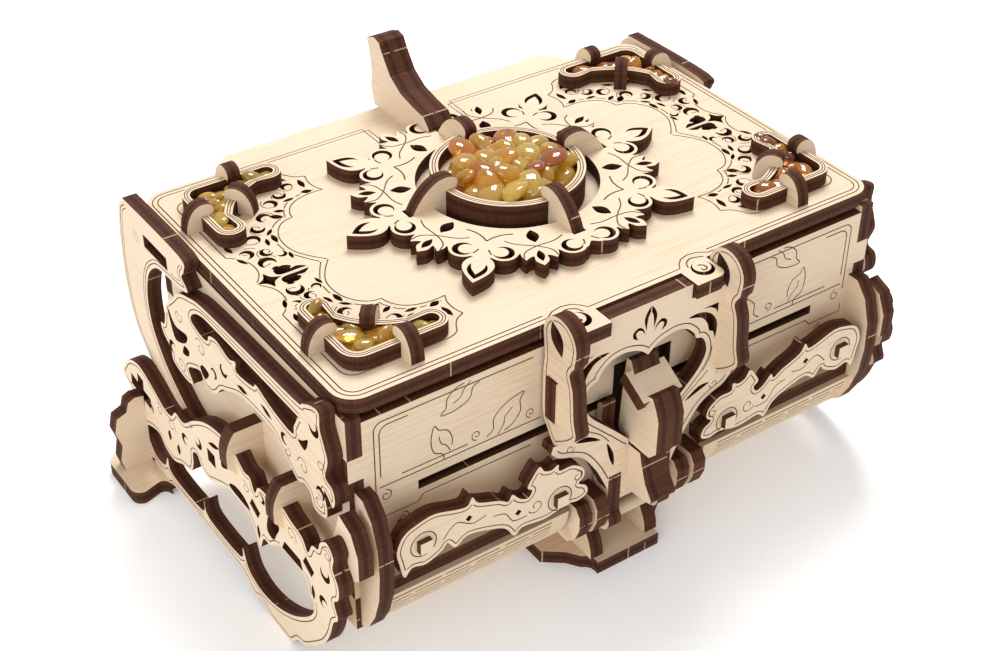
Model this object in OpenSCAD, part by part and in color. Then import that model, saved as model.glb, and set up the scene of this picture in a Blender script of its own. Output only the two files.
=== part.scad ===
// Laser-cut plywood jewellery casket, assembled from flat plates like a 3D jigsaw.
// X runs along the front, Y from the front (negative) to the back, Z is up.
// The origin is on the ground under the middle of the whole casket. The modules are drawn
// about the middle of the lid, and from_middle() moves them there at the end.

/* [Plywood] */
// Thickness of every plate
ply = 4; // [3.8:0.1:4.2]

/* [Lid] */
// Width of the lid plate between the two side frames
lid_w = 159.4; // [158:0.2:159.4]
// Depth of the lid plate, without the rear tongue and the front scroll tabs
lid_d = 102; // [100:0.5:102]
// Height of the lid's top face above the ground
lid_top = 85; // [85:1:90]
// How far the rear tongue reaches behind the lid plate
tongue = 7; // [5:0.5:7]
// How far the two front scroll tabs reach in front of the lid plate
tab_reach = 8.3; // [7:0.1:8.3]

/* [Box] */
// Outside width over the two side walls
box_w = 160; // [160:0.5:160.5]
// Y of the front face of the front panels
front_y = -51.5; // [-51.8:0.1:-51.5]
// Y of the outer face of the back wall
back_y = 40; // [38:1:40]
// Height of the box's underside above the ground
floor_z = 17; // [16:0.5:18]
// Gap between the top of the walls and the lid
lid_gap = 0.3; // [0.3:0.1:0.6]

/* [Hinges and pins] */
// Diameter of the lid hinge pins
hinge_pin_d = 4; // [3:0.5:4]
// Diameter of the clasp's axle
clasp_pin_d = 4; // [3:0.5:4]
// Diameter of the lever's axle
lever_pin_d = 2.5; // [2:0.25:2.5]
// Clearance on the diameter between a pin and the hole that turns on it
pin_play = 0.1; // [0.06:0.02:0.14]

/* [Rosette and cups] */
// Radius of the six pointed leaf tips
leaf_tip_r = 48; // [46:0.5:48.5]
// Outer radius of the round cup's ring
ring_r = 20; // [19.5:0.25:20]
// Width of every cup's rim
rim = 2.2; // [1.8:0.1:2.4]

/* [Hidden] */
$fn = 48;
side_x = box_w / 2;
lid_x = lid_w / 2;
lid_front = -lid_d / 2;
lid_back = lid_d / 2;
lid_under = lid_top - ply;
wall_top = lid_under - lid_gap;
inner_x = side_x - ply;
inner_front = front_y + ply;
inner_back = back_y - ply;
split_z = lid_top - 32.5;
hinge_y = 46;
hinge_z = lid_top - 7;
clasp_y = -55.5;
clasp_z = 20;
clasp_face = -58;
lever_y = -55.2;
lever_z = 46;
rosette_y = 1;
sectors = 8;
sector = 360 / sectors;
prong_w = 3.6;
middle_y = 2.7;
panel_tab_z = [lid_top - 22, lid_top - 15.5];
lower_tab_z = [27, 41];
ledge_z = 29.6;
bar_face = -60;
ledge_front = bar_face + ply;
cover_r = 13;
cover_axis_y = -44.6;
cover_in = 22;
former_in = 74.6;
peg = 3.4;
peg_at = [[-66, -40.9], [-26.8, -46.9]];
bar_shift = [-6.8, 6.7];
frame_x = side_x + 2 * ply;
bracket_y = [-10, -33.5];
cup_at = [-73.2, -43];
hook_out = 27;
clasp_top = -4.4;
clasp_tongue = [12.6, -0.2];
front_step = 1.9;
rosette_hole = 23.8;
cap_half = 6;
pale = [0.93, 0.85, 0.70];
birch = [0.88, 0.79, 0.62];
honey = [0.85, 0.62, 0.15, 0.9];

// ---------- shared shapes ----------

function turn(p, a) = [p[0] * cos(a) - p[1] * sin(a), p[0] * sin(a) + p[1] * cos(a)];
function flip(p) = [p[0], -p[1]];
function backwards(v) = [for (i = [len(v) - 1 : -1 : 0]) v[i]];
function arc(c, r, from, to, steps) =
  [for (i = [0 : steps]) [c[0] + r * cos(from + (to - from) * i / steps),
                          c[1] + r * sin(from + (to - from) * i / steps)]];
// A pointed oval from one end to the other, given its half width
function lens(from, to, half) =
  let (d = to - from, n = [-d[1], d[0]] / norm(d), steps = 6)
  concat([for (i = [0 : steps]) from + d * i / steps + n * half * sin(180 * i / steps)],
         [for (i = [1 : steps - 1]) to - d * i / steps - n * half * sin(180 * i / steps)]);
// A closed curve through the points (Catmull-Rom)
function through(a, b, c, d, t) =
  (2 * b + (c - a) * t + (2 * a - 5 * b + 4 * c - d) * t * t
   + (3 * b - a - 3 * c + d) * t * t * t) / 2;
function smooth(p, steps) =
  let (n = len(p))
  [for (i = [0 : n - 1]) for (k = [0 : steps - 1])
    through(p[(i + n - 1) % n], p[i], p[(i + 1) % n], p[(i + 2) % n], k / steps)];

module level(z, t = ply) translate([0, 0, z]) linear_extrude(t) children();
module upright(y, t = ply) translate([0, y + t, 0]) rotate([90, 0, 0]) linear_extrude(t) children();
module endways(x, t = ply) translate([x, 0, 0]) rotate([90, 0, 90]) linear_extrude(t) children();
module mirrored_outline(half) polygon(concat(half, backwards([for (p = half) [-p[0], p[1]]])));
module other_side() mirror([1, 0, 0]) children();
module both_sides() {
  children();
  mirror([1, 0, 0]) children();
}
module span(x0, x1, y0, y1) translate([x0, y0]) square([x1 - x0, y1 - y0]);
module pin_x(x0, x1, y, z, d) translate([x0, y, z]) rotate([0, 90, 0]) cylinder(h = x1 - x0, d = d);
// A crescent opening: a round hole with a smaller disc left standing in it
module crescent(at, r, spin) translate(at) rotate(spin) difference() {
  circle(r);
  translate([r * 0.45, 0]) circle(r * 0.72);
}

module from_middle() translate([0, middle_y, 0]) children();

// ---------- box ----------

module wall_outline() difference() {
  span(front_y, back_y, floor_z, wall_top);
  span(front_y - 1, inner_front, panel_tab_z[0], panel_tab_z[1]);
  span(front_y - 1, inner_front, lower_tab_z[0], lower_tab_z[1]);
  span(inner_back, back_y + 1, panel_tab_z[0], panel_tab_z[1]);
  span(inner_back, back_y + 1, lower_tab_z[0], lower_tab_z[1]);
}
module left_wall() color(pale) endways(-side_x) wall_outline();
module right_wall() color(pale) endways(inner_x) wall_outline();

module floor_plate() color(pale) level(floor_z) span(-inner_x, inner_x, inner_front, inner_back);

module back_wall() color(pale) upright(inner_back) {
  span(-inner_x, inner_x, floor_z, wall_top);
  span(-side_x, side_x, panel_tab_z[0], panel_tab_z[1]);
  span(-side_x, side_x, lower_tab_z[0], lower_tab_z[1]);
}

module upper_front_panel() color(birch) upright(front_y) difference() {
  union() {
    span(-inner_x, inner_x, split_z, lid_top - 6);
    span(-side_x, side_x, panel_tab_z[0], panel_tab_z[1]);
  }
  span(-61.7, 61.7, split_z - 1, split_z + 2.7);
  span(-5, 13, split_z - 1, lid_top - 21);
}

module lower_front_panel() color(birch) upright(front_y) difference() {
  union() {
    span(-inner_x, inner_x, floor_z, split_z);
    span(-side_x, side_x, lower_tab_z[0], lower_tab_z[1]);
  }
  span(-5, 5, split_z - 14, split_z + 1);
}

module front_ledge() color(pale) level(ledge_z) both_sides()
  span(cover_in, former_in, ledge_front, front_y);

// Bent sheet with engraved reeds, a slice of a tube between two formers
module cover_profile() intersection() {
  translate([cover_axis_y, ledge_z]) difference() {
    circle(cover_r);
    circle(cover_r - 2);
  }
  span(cover_axis_y - cover_r, front_y, floor_z, ledge_z);
}
module left_reeded_cover() color(birch) endways(-former_in, former_in - cover_in) cover_profile();
module right_reeded_cover() other_side() left_reeded_cover();

end_former_points = [[0, -25], [-3.5, -25], [-7, -29], [-9.2, -36], [-9.6, -44], [-8.8, -52],
                     [-6.6, -59], [-3.4, -65], [0, -67.5]];
module left_end_former() color(pale) endways(-former_in - ply) translate([front_y, lid_top])
  polygon(end_former_points);
module right_end_former() other_side() left_end_former();

inner_former_points = [[0, -54.6], [-7, -54.6], [-8.8, -57], [-8.8, -61], [-7.2, -65], [-4, -68], [0, -68]];
module left_inner_former() color(pale) for (x = [-20.5, -15])
  endways(x) difference() {
    translate([front_y, lid_top]) polygon(inner_former_points);
    translate([clasp_y, clasp_z]) circle(d = clasp_pin_d);
  }
module right_inner_former() other_side() left_inner_former();

module left_corner_brace() color(pale) endways(-side_x - ply) translate([0, lid_top])
  polygon([[-50.5, -36], [-53.6, -27.5], [-58.5, -29.5], [-61.2, -35], [-61.2, -42], [-58, -44.5],
           [-50.5, -41]]);
module right_corner_brace() other_side() left_corner_brace();

// ---------- front ornaments ----------

// Outline of the left acanthus bar, from its outer end along the top and back underneath
bar_points = [[-64.5, -42.5], [-61, -40.8], [-56, -40], [-50, -41.8], [-47, -42.2], [-45.6, -40.2],
  [-43.8, -42.8], [-38, -45.2], [-35.4, -46.8], [-34.2, -45.2], [-32, -47.6], [-29.6, -48.6],
  [-28.4, -46.8], [-29.8, -45.4], [-28.6, -43], [-26.4, -40.4], [-25, -42.4], [-22.8, -43.2],
  [-20.8, -42.4], [-20.4, -44.6], [-16.5, -44.8], [-13.2, -47.2], [-12.8, -50], [-14.4, -51.6],
  [-12, -53.4], [-11.6, -56], [-14.4, -57.2], [-18, -56.6], [-24, -58], [-31, -57.2], [-33.4, -58.8],
  [-36.2, -55], [-41, -52.8], [-47, -51.4], [-50.4, -53.4], [-52.6, -50.8], [-54.2, -52.4],
  [-58.6, -54.2], [-62.4, -53.4], [-64.6, -55.4], [-65.8, -50.6], [-66.4, -46.6]];
module left_front_ornament() color(birch) upright(bar_face) translate([0, lid_top]) difference() {
  translate(bar_shift) polygon(smooth(bar_points, 2));
  for (at = peg_at) translate(at) square(peg, center = true);
  for (at = [[-53.4, -39.5], [-39.2, -45.1]]) translate(at) rotate(45) square(1.4, center = true);
}
module right_front_ornament() other_side() left_front_ornament();

module ornament_pegs() color(pale) both_sides() for (at = peg_at)
  translate([at[0] - peg / 2, bar_face - 1.5, lid_top + at[1] - peg / 2])
    cube([peg, front_y - bar_face + 1.5, peg]);

// ---------- side ornaments ----------
// Outlines of the side plates are given as Y and as height over the lid's top face.

scroll_points = [[32, -20.5], [27, -15.4], [23, -11.6], [17, -9.4], [10, -7.8], [-8, -6.9], [-36, -6],
  [-40, -4.6], [-44, -2.6], [-47.4, -2.4], [-47.4, -7], [-49, -11], [-50, -14.6], [-48.4, -20],
  [-51.4, -21.4], [-52.2, -24.6], [-51, -27.2], [-48.8, -25.2], [-47.2, -25], [-48.2, -30],
  [-47.2, -33.2], [-42, -34], [-40.6, -30.4], [-38, -29.4], [-35, -30.8], [-32, -29.2], [-27.2, -25.4],
  [-24.4, -23.2], [-17.2, -22.8], [-8.2, -23.6], [-1, -26.8], [3, -28.8], [6, -32], [9, -33.8],
  [13, -33.6], [14.4, -30.8], [17.6, -31.6], [22.4, -34.6], [20.4, -38.4], [25, -39.6], [31.6, -38],
  [32.2, -34.4], [35.8, -31.8], [36.8, -28.6], [34.4, -27.6]];
scroll_slot = [[16.6, -16.4], [15.6, -13.6], [10.8, -11.2], [2.8, -10.6], [-35, -10], [-37, -10.6],
  [-35, -14.4], [-33.8, -17.4], [-25, -16.6], [-17.2, -14.4], [-15.2, -16], [-7, -17.2], [-6.8, -14.2],
  [-3.2, -15.4], [2.8, -13.8], [7, -15], [8, -17], [11, -17.8]];
module left_side_scroll() color(birch) endways(-side_x - ply) translate([0, lid_top]) difference() {
  polygon(smooth(scroll_points, 2));
  polygon(smooth(scroll_slot, 2));
  polygon(smooth([[-36.4, -17.4], [-38.6, -16.2], [-41.4, -14.2], [-39.6, -18.4]], 3));
  polygon(smooth([[27.6, -29], [22, -26.4], [20.8, -23.2], [27.4, -24], [31.2, -20], [29.6, -27]], 2));
  polygon(smooth([[24.6, -31], [21.6, -30.4], [20.4, -28.2], [23, -27.8]], 2));
  polygon(smooth([[9.6, -28.4], [12.8, -27.6], [14.6, -29.4], [12.4, -31.6]], 2));
}
module right_side_scroll() other_side() left_side_scroll();

bracket_outer = [[55.4, -3.4], [51.8, 0.6], [49, 1.4], [19.6, 1.4], [17.6, -2], [19.4, -4.6], [17.4, -6.4],
  [17, -8]];
bracket_inner = [[22, -9.2], [30, -9.8], [35.4, -11], [40.8, -16], [43.6, -24], [43.4, -32], [40.8, -38],
  [36, -44], [28, -50], [22, -53.2], [20, -56.6]];
bracket_rear = [[34, -59.6], [42, -53.6], [48, -47.4], [53.2, -42], [56, -36], [57.6, -27], [57.4, -16]];
module left_rear_bracket() color(pale) endways(-side_x - ply) difference() {
  translate([0, lid_top]) difference() {
    polygon(concat(bracket_outer, bracket_inner, bracket_rear));
    span(27.6, 41, -7.6, -3.8);
  }
  translate([hinge_y, hinge_z]) circle(d = hinge_pin_d);
}
module right_rear_bracket() other_side() left_rear_bracket();

frame_points = [[57, -53], [53.4, -49.6], [47, -47.6], [40, -49.6], [33, -52.8], [28.4, -52.6],
  [25.4, -49.4], [20.6, -49.6], [14, -44.4], [7, -40.2], [0, -38], [-6, -37.6], [-9.8, -38.6],
  [-14, -41.2], [-17, -41], [-19, -44.4], [-21.4, -41], [-27, -40], [-33.6, -38.2], [-37, -39.4],
  [-42.4, -40.6], [-44.8, -43.6], [-47.2, -39.6], [-50, -38.6], [-51.4, -35.4], [-54.6, -33.2],
  [-57.2, -35.8], [-56.4, -39.8], [-58.6, -43.6], [-58.2, -48], [-56, -50.6], [-57.4, -55], [-55, -58],
  [-53, -63.6], [-50, -69], [-45.4, -74], [-39.4, -79.4], [-35.6, -80.6], [-31, -84.9], [-21, -84.9],
  [-17, -82.6], [-12.6, -83.8], [-8, -80.8], [0, -80.2], [31, -80.2], [36, -83], [37, -84.9], [40, -84.9],
  [42, -80.6], [47, -79.6], [50.4, -82], [51, -84.9], [59, -84.9], [58.6, -78], [55.6, -72], [57.4, -66],
  [54.6, -61], [59.6, -57.6]];
frame_window = [[47, -74], [48.8, -70.6], [46, -67.6], [39, -65.6], [35.6, -68.4], [30.6, -69.4],
  [25, -66.8], [19.6, -65.2], [17.4, -61], [16.8, -57], [14, -55.6], [12, -58.6], [8, -59.6],
  [3, -57.4], [-4, -54.6], [-13, -54.4], [-16.6, -57.4], [-19, -62.4], [-21.4, -57.6], [-25, -57],
  [-30.6, -53.2], [-42, -53], [-43.8, -57], [-46, -59.6], [-44.2, -64.6], [-38, -70.6], [-31.4, -75],
  [-24, -78.2], [-17, -79.2], [-12, -77.8], [-9.8, -75.6], [-8, -71.2], [-6, -75.8], [11.4, -76],
  [13.6, -71.2], [15.6, -76.2], [33.4, -76.6], [35.4, -72], [38, -76.4], [43.6, -77.2]];
module left_side_frame() color(birch) endways(-frame_x) translate([0, lid_top]) difference() {
  intersection() {
    polygon(smooth(frame_points, 2));
    span(-70, 70, -lid_top, 0);
  }
  polygon(smooth(frame_window, 2));
  for (y = bracket_y) span(y, y + ply, -45, -37);
  translate([48, -57]) rotate(8) {
    square([3.6, 11], center = true);
    square([12, 4], center = true);
  }
  polygon(smooth([[-1, -49], [-1.2, -46], [-4, -43.4], [-7, -44.4], [-5, -47]], 3));
  translate([5, -50.4]) square(4.2, center = true);
  polygon(lens([6, -46], [-0.6, -43.6], 0.8));
  polygon(smooth([[-4.4, -53], [-7, -50.6], [-12, -50.4], [-15, -53.2]], 3));
  polygon(smooth([[-24, -52.6], [-25.4, -47], [-29, -44.4], [-30.8, -47], [-29, -50.4], [-27, -53.6]], 3));
  polygon([[-31.4, -52.6], [-33, -49.4], [-40.6, -49.4], [-41.6, -52.4]]);
  for (at = [[-18.2, -50], [-44.6, -48.4]]) translate(at) rotate(30) square([4.4, 3.2], center = true);
  for (at = [[31, -61], [26, -62.6]]) polygon(lens([at[0], at[1] + 2], [at[0] + 0.6, at[1] - 2], 1));
  for (at = [[-19, -57], [-46, -55.4]]) polygon(lens([at[0], at[1] + 2.4], [at[0], at[1] - 2.6], 0.8));
}
module right_side_frame() other_side() left_side_frame();

// Quarter-round plates that carry the side frames away from the walls
module side_frame_brackets() color(pale) both_sides() for (y = bracket_y)
  upright(y) translate([-side_x, lid_top])
    polygon(concat([[0, -32]], arc([0, -39], 10.4, 138, 180, 5), [[-10.4, -42], [-8, -45], [0, -45]]));

// ---------- feet ----------

module foot_outline() polygon(concat(
  [[-8.9, -56], [8.9, -56]],
  arc([13.4, -54.8], 3.4, 200, 110, 4),
  [[14.8, -48], [20, -44], [20, -32], [-20, -32], [-20, -44], [-14.8, -48]],
  arc([-13.4, -54.8], 3.4, 70, -20, 4)));
module front_foot_plate() color(pale) level(0) foot_outline();

module front_foot_brackets() color(pale) for (x = [-11, 7])
  endways(x) polygon(concat([[-32, ply], [-32, floor_z], [-45, floor_z]],
                            arc([-42, ply], 12, 104, 180, 6)));

module rear_foot_plates() color(pale) both_sides() level(0)
  polygon(concat([[-frame_x, 56]], arc([-95, 52], 3.4, 90, 180, 4), arc([-95.4, 39], 3, 180, 270, 4),
                 arc([-90.4, 35.6], 2, 120, 30, 3), [[-frame_x, 35]]));

foot_bracket_points = [[0, -81], [-8, -81], [-9, -77], [-8, -72], [-9.4, -67], [-8.4, -62.6], [-5.4, -61.4],
  [-4.6, -58.6], [-2.6, -57.6], [0, -58]];
module rear_foot_brackets() color(pale) both_sides() upright(47)
  translate([-frame_x, lid_top]) polygon(foot_bracket_points);

// ---------- pins ----------

module hinge_pins() color(birch) both_sides() pin_x(-side_x - ply, -66, hinge_y, hinge_z, hinge_pin_d);
module clasp_axle() color(birch) pin_x(-20.5, 20.5, clasp_y, clasp_z, clasp_pin_d);

// ---------- lid ----------

// Right half of the lid, with a scroll tab beside the hook bar and half the rear tongue
lid_half = concat(
  [[13, lid_front - front_step], [13, lid_front - tab_reach], [22.5, lid_front - tab_reach], [22.5, lid_front]],
  arc([lid_x - 6, lid_front + 6], 6, 270, 360, 6),
  arc([lid_x - 6, lid_back - 6], 6, 0, 90, 6),
  [[58, lid_back], [52, lid_back + tongue]]);
// Openings of one pierced band, for the right end of the lid and its front half
module band_openings() {
  crescent([66, -6.6], 2.1, 150);
  crescent([64.4, -10.6], 1.7, 20);
  crescent([68.2, -13.4], 1.9, 250);
  polygon(lens([61.4, -4.4], [60.4, -7.6], 0.5));
  polygon(lens([61, -12.6], [61.6, -16.4], 0.7));
  polygon([[62.4, -14], [60.4, -13.2], [60.8, -15.8]]);
  polygon(lens([70.6, -11.6], [71.8, -15.2], 0.8));
  crescent([64.6, -18], 1.8, 80);
  crescent([61, -22], 1.9, 200);
  polygon([[56.6, -22.4], [53.6, -22.2], [54.4, -25.6], [56.2, -24.6]]);
  crescent([56.4, -27.8], 1.8, 120);
  crescent([51.6, -29.4], 1.7, 320);
  crescent([47.4, -33], 1.9, 60);
  polygon([[44.6, -29.8], [41.4, -29.8], [42.6, -32.4]]);
  polygon(lens([42.4, -33.2], [42.6, -37.6], 0.6));
  polygon(lens([45.2, -34], [44.4, -38.6], 0.8));
  polygon([[67.4, -1.2], [61.4, -0.5], [64.4, -3.2]]);
}
module star(at, r) translate(at) polygon([for (i = [0 : 7])
  let (d = i % 2 == 0 ? r : r * 0.55) [d * cos(45 * i), d * sin(45 * i)]]);
module lid_plate() color(pale) level(lid_under) difference() {
  mirrored_outline(lid_half);
  both_sides() {
    star([69.2, 0], 2.6);
    band_openings();
    mirror([0, 1, 0]) band_openings();
  }
}

module lid_locating_rim() color(pale) level(lid_under - ply) difference() {
  span(-75.4, 75.4, inner_front + 0.5, inner_back - 0.6);
  span(-72, 72, inner_front + 4, inner_back - 4.1);
}

module lid_hinge_ears() color(pale) both_sides() endways(-74) difference() {
  union() {
    translate([hinge_y, hinge_z]) circle(4);
    span(hinge_y - 4, hinge_y + 4, hinge_z, lid_under);
  }
  span(hinge_y - 5, hinge_y + 5, lid_under, lid_top);
  translate([hinge_y, hinge_z]) circle(d = hinge_pin_d + pin_play);
}

// Half of a rosette arm that points along +X, from its leaf tip to the leaf beside it
leaf_half = [[leaf_tip_r, 0], [44.6, 2.5], [40.6, 3.7], [37, 3.1]];
scroll_end = [[35.4, 0], [36.4, 1.8]];
arm_side = [[36.4, 3.6], [37.2, 5.8], [36.4, 8.3], [33.6, 10.2], [35.3, 11.3], [33.5, 12.6],
            [35.6, 13], [37.6, 15.6]];
module rosette_outline() polygon([for (k = [0 : sectors - 1])
  let (half = concat(k == 6 || k == 2 ? scroll_end : leaf_half, arm_side))
  for (p = concat(backwards([for (q = half) flip(q)]), [for (i = [1 : len(half) - 2]) half[i]]))
  turn(p, sector * k)]);
module rosette() color(pale) level(lid_top) translate([0, rosette_y]) difference() {
  rosette_outline();
  circle(rosette_hole);
  for (k = [0 : sectors - 1]) rotate(sector * k) {
    if (k != 6 && k != 2) difference() {
      polygon(lens([37.6, 0], [46.4, 0], 2.5));
      polygon(lens([36.6, 0], [44.4, 0], 1.9));
    }
    crescent([34.2, 5], 2.6, 260);
    crescent([34.2, -5], 2.6, 100);
    rotate(sector / 2) polygon(lens([34.4, 0], [39, 0], 0.9));
    rotate(sector / 2) polygon(lens([24.8, 0], [30.4, 0], 1.5));
  }
  for (a = [0, 90, 180, 270]) rotate(a) span(rosette_hole - 0.5, 31, -prong_w / 2, prong_w / 2);
  span(-ply, ply, 31, 40);
}

// ---------- round cup ----------

module round_cup_base() color(pale) level(lid_top) translate([0, rosette_y]) circle(ring_r);
module round_cup_ring() color(pale) level(lid_top + ply) translate([0, rosette_y]) difference() {
  circle(ring_r);
  circle(ring_r - rim);
}
// Claw that grips the ring: X is the distance from the cup's middle
claw_points = [[20, 0], [20, 8], [16.9, 8], [16.7, 9.6], [17.4, 11], [19.6, 11.8], [22.4, 11.4],
               [25.4, 9.6], [28.2, 6.6], [30.2, 3], [31, 0]];
module round_cup_prongs() color(pale) translate([0, rosette_y, lid_top]) for (a = [0, 90, 180, 270])
  rotate(a) translate([0, prong_w / 2, 0]) rotate([90, 0, 0]) linear_extrude(prong_w) polygon(claw_points);
module round_cup_amber() color(honey) translate([0, rosette_y, lid_top + ply]) rotate_extrude()
  polygon([[0, 0], [16.5, 0], [16.5, 4.4], [13, 6.6], [7, 8.2], [0, 8.8]]);

// ---------- corner cups ----------
// One cup lies in the front left corner with its outer corner at cup_at.

module cup_shape(inset) {
  polygon(concat(
    arc([5, 5], 5 - inset, 180, 270, 5),
    arc([23.8, 3.9], 3.9 - inset, 270, 450, 8),
    [for (p = [[19.5, 7.2], [14.5, 9.7], [9.7, 13.7], [6.9, 17.9]]) p - [inset, inset] * 0.75],
    arc([3.9, 22.3], 3.9 - inset, 0, 180, 8)));
}
module cup() color(pale) level(lid_top) translate(cup_at) difference() {
  cup_shape(0);
  cup_shape(rim - 0.2);
}
module front_left_cup() cup();
module front_right_cup() other_side() cup();
module back_left_cup() mirror([0, 1, 0]) cup();
module back_right_cup() other_side() back_left_cup();

// Small claw: X is the distance inwards from the rim's outer face
small_claw = [[0, 0], [0, 4], [3.2, 4], [3.6, 5.4], [2.8, 6.9], [0.6, 7.4], [-1.6, 6.6], [-3.2, 4.6],
              [-4, 2.2], [-4.2, 0]];
module small_claw_at(at, spin) translate([at[0], at[1], 0]) rotate(spin)
  translate([0, prong_w / 2, 0]) rotate([90, 0, 0]) linear_extrude(prong_w) polygon(small_claw);
module cup_claws() translate([cup_at[0], cup_at[1], lid_top]) {
  small_claw_at([15, 0], 90);
  small_claw_at([0, 13], 0);
  small_claw_at([12.2, 11.7], 230);
}
module corner_cup_prongs() color(pale) both_sides() {
  cup_claws();
  mirror([0, 1, 0]) cup_claws();
}
module amber_pool() level(lid_top, ply - 0.1) translate(cup_at) cup_shape(rim);
module corner_cup_amber() color(honey) both_sides() {
  amber_pool();
  mirror([0, 1, 0]) amber_pool();
}

// ---------- horn at the back of the lid ----------

horn_points = [[32, 0], [32, 5], [34.4, 7.4], [40, 8.2], [46, 9.6], [51, 12.6], [54.6, 17.4],
  [56.4, 20.4], [59, 21], [62.6, 19.6], [61.4, 15], [60.8, 10], [61.4, 5], [60, 0]];
module horn_right_layer() color(pale) endways(0) translate([0, lid_top]) polygon(horn_points);
module horn_left_layer() other_side() horn_right_layer();

// ---------- clasp ----------
// The clasp plate's outline is given as X and as height over the lid's top face.

plate_half = [clasp_tongue, [clasp_tongue[0], clasp_top], [23, clasp_top], [23, -12.8], [hook_out + 0.6, -12.8], [hook_out + 0.6, -24.8], [23, -24.8],
  [23, -31.7], [27.8, -31.7], [28.4, -33.6], [26, -36], [22, -37.6],
  [18.4, -39.8], [14.6, -45], [12, -50], [10.2, -54], [8.6, -57.2], [5.6, -58.8]];
heart_half = [[0, -15.8], [3, -13.4], [7.6, -12.2], [11.5, -12.9], [14.3, -15.3], [15.2, -17.2],
  [17.2, -18], [18.6, -20.4], [18.8, -23.8], [16.6, -27.8], [12.5, -32], [8.6, -35.8], [4, -40.4],
  [0, -43]];
module clasp_plate() color(birch) upright(clasp_face) translate([0, lid_top]) difference() {
  mirrored_outline(plate_half);
  mirrored_outline(heart_half);
  span(-4.3, 4.3, -42, -30);
  both_sides() {
    span(6, 10, -60, -50);
    polygon(smooth([[21.5, -19.6], [21.6, -15], [19.4, -11.6], [15.6, -9.8], [12.4, -10.2], [16.2, -11.6],
                    [18.8, -14.8]], 3));
    polygon([[21.6, -9], [16.6, -9], [20, -9.9], [21.6, -12]]);
    polygon(smooth([[21, -33.6], [17.4, -33.4], [13.4, -36.2], [17.4, -35]], 3));
    polygon(smooth([[11.2, -38.4], [9, -42.6], [8.8, -46.6], [10.4, -43]], 3));
    crescent([3.6, -8.2], 1.7, 240);
    polygon(smooth([[0.3, -1.8], [1.6, -3.4], [1.9, -5.8], [1, -8], [0.9, -5.4]], 3));
  }
}

hook_points = concat(arc([-58, -0.6], 6.2, -10, 190, 12),
  [[-63.6, -5], [-62, -8], [-63.4, -12], [-64.2, -20], [-65.2, -24.6], [-62.6, -28], [-58.6, -31],
   [-56.8, -31.6], [-55, -28], [-53.2, -20], [-52.4, -12], [-52.6, -8]]);
module left_hook_bar() color(pale) endways(-hook_out) translate([0, lid_top]) difference() {
  polygon(hook_points);
  polygon(lens([-54.6, 2.6], [-58.6, -4.4], 1.8));
  span(clasp_face, clasp_face + ply, -24.8, -12.8);
}
module right_hook_bar() other_side() left_hook_bar();

module clasp_knuckles() color(pale) both_sides() endways(6) difference() {
  union() {
    translate([clasp_y, clasp_z]) circle(3.6);
    span(clasp_face, clasp_face + ply, clasp_z, lid_top - 50);
    span(clasp_face + ply, clasp_face + ply + 2, 27, lid_top - 31);
    translate([clasp_face + ply, lid_top - 31]) intersection() {
      circle(2);
      square(2);
    }
  }
  translate([clasp_y, clasp_z]) circle(d = clasp_pin_d + pin_play);
}

// Handle that pulls the clasp forward, two layers
module clasp_wedge() color(pale) endways(-ply, 2 * ply) translate([0, lid_top])
  polygon([[-58, -42.2], [-62.2, -42], [-63.2, -45.6], [-65, -50.4], [-67.6, -54], [-67.2, -55.2],
           [-63, -56], [-58, -56.4]]);

// ---------- lever ----------

lever_points = [[-54.4, -22], [-55, -17], [-56.6, -16.9], [-58.1, -20.2], [-56.1, -23.6], [-61.4, -26.8],
  [-63.4, -23.3], [-65.3, -22.9], [-66.8, -25.5], [-68, -28.5], [-68, -38.5], [-65.5, -41.2],
  [-56, -41.2], [-53.4, -39]];
module lever_layer(x) endways(x) difference() {
  translate([0, lid_top]) polygon(lever_points);
  translate([lever_y, lever_z]) circle(d = lever_pin_d + pin_play);
}
module lever_left_layer() color(pale) lever_layer(-ply);
module lever_right_layer() color(pale) lever_layer(0);
module lever_axle() color(birch) pin_x(-4.3, 4.3, lever_y, lever_z, lever_pin_d);
module lever_cap() color(pale) difference() {
  endways(-cap_half, 2 * cap_half) translate([0, lid_top])
    polygon([[-57, -19.5], [-64.5, -24], [-62.5, -27.4], [-55, -22.9]]);
  for (y = [-57, -64.5]) endways(-ply, 2 * ply) translate([0, lid_top])
    polygon(y == -57 ? [[-54, -17], [-58.1, -20.2], [-56.1, -23.6], [-52, -24]]
                     : [[-68, -20], [-63.4, -23.3], [-61.4, -26.8], [-64, -30]]);
}

from_middle() floor_plate();
from_middle() left_wall();
from_middle() right_wall();
from_middle() back_wall();
from_middle() upper_front_panel();
from_middle() lower_front_panel();
from_middle() front_ledge();
from_middle() left_reeded_cover();
from_middle() right_reeded_cover();
from_middle() left_end_former();
from_middle() right_end_former();
from_middle() left_inner_former();
from_middle() right_inner_former();
from_middle() left_corner_brace();
from_middle() right_corner_brace();
from_middle() left_front_ornament();
from_middle() right_front_ornament();
from_middle() ornament_pegs();
from_middle() left_side_scroll();
from_middle() right_side_scroll();
from_middle() left_rear_bracket();
from_middle() right_rear_bracket();
from_middle() left_side_frame();
from_middle() right_side_frame();
from_middle() side_frame_brackets();
from_middle() front_foot_plate();
from_middle() front_foot_brackets();
from_middle() rear_foot_plates();
from_middle() rear_foot_brackets();
from_middle() hinge_pins();
from_middle() clasp_axle();
from_middle() lid_plate();
from_middle() lid_locating_rim();
from_middle() lid_hinge_ears();
from_middle() rosette();
from_middle() round_cup_base();
from_middle() round_cup_ring();
from_middle() round_cup_prongs();
from_middle() round_cup_amber();
from_middle() front_left_cup();
from_middle() front_right_cup();
from_middle() back_left_cup();
from_middle() back_right_cup();
from_middle() corner_cup_prongs();
from_middle() corner_cup_amber();
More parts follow.
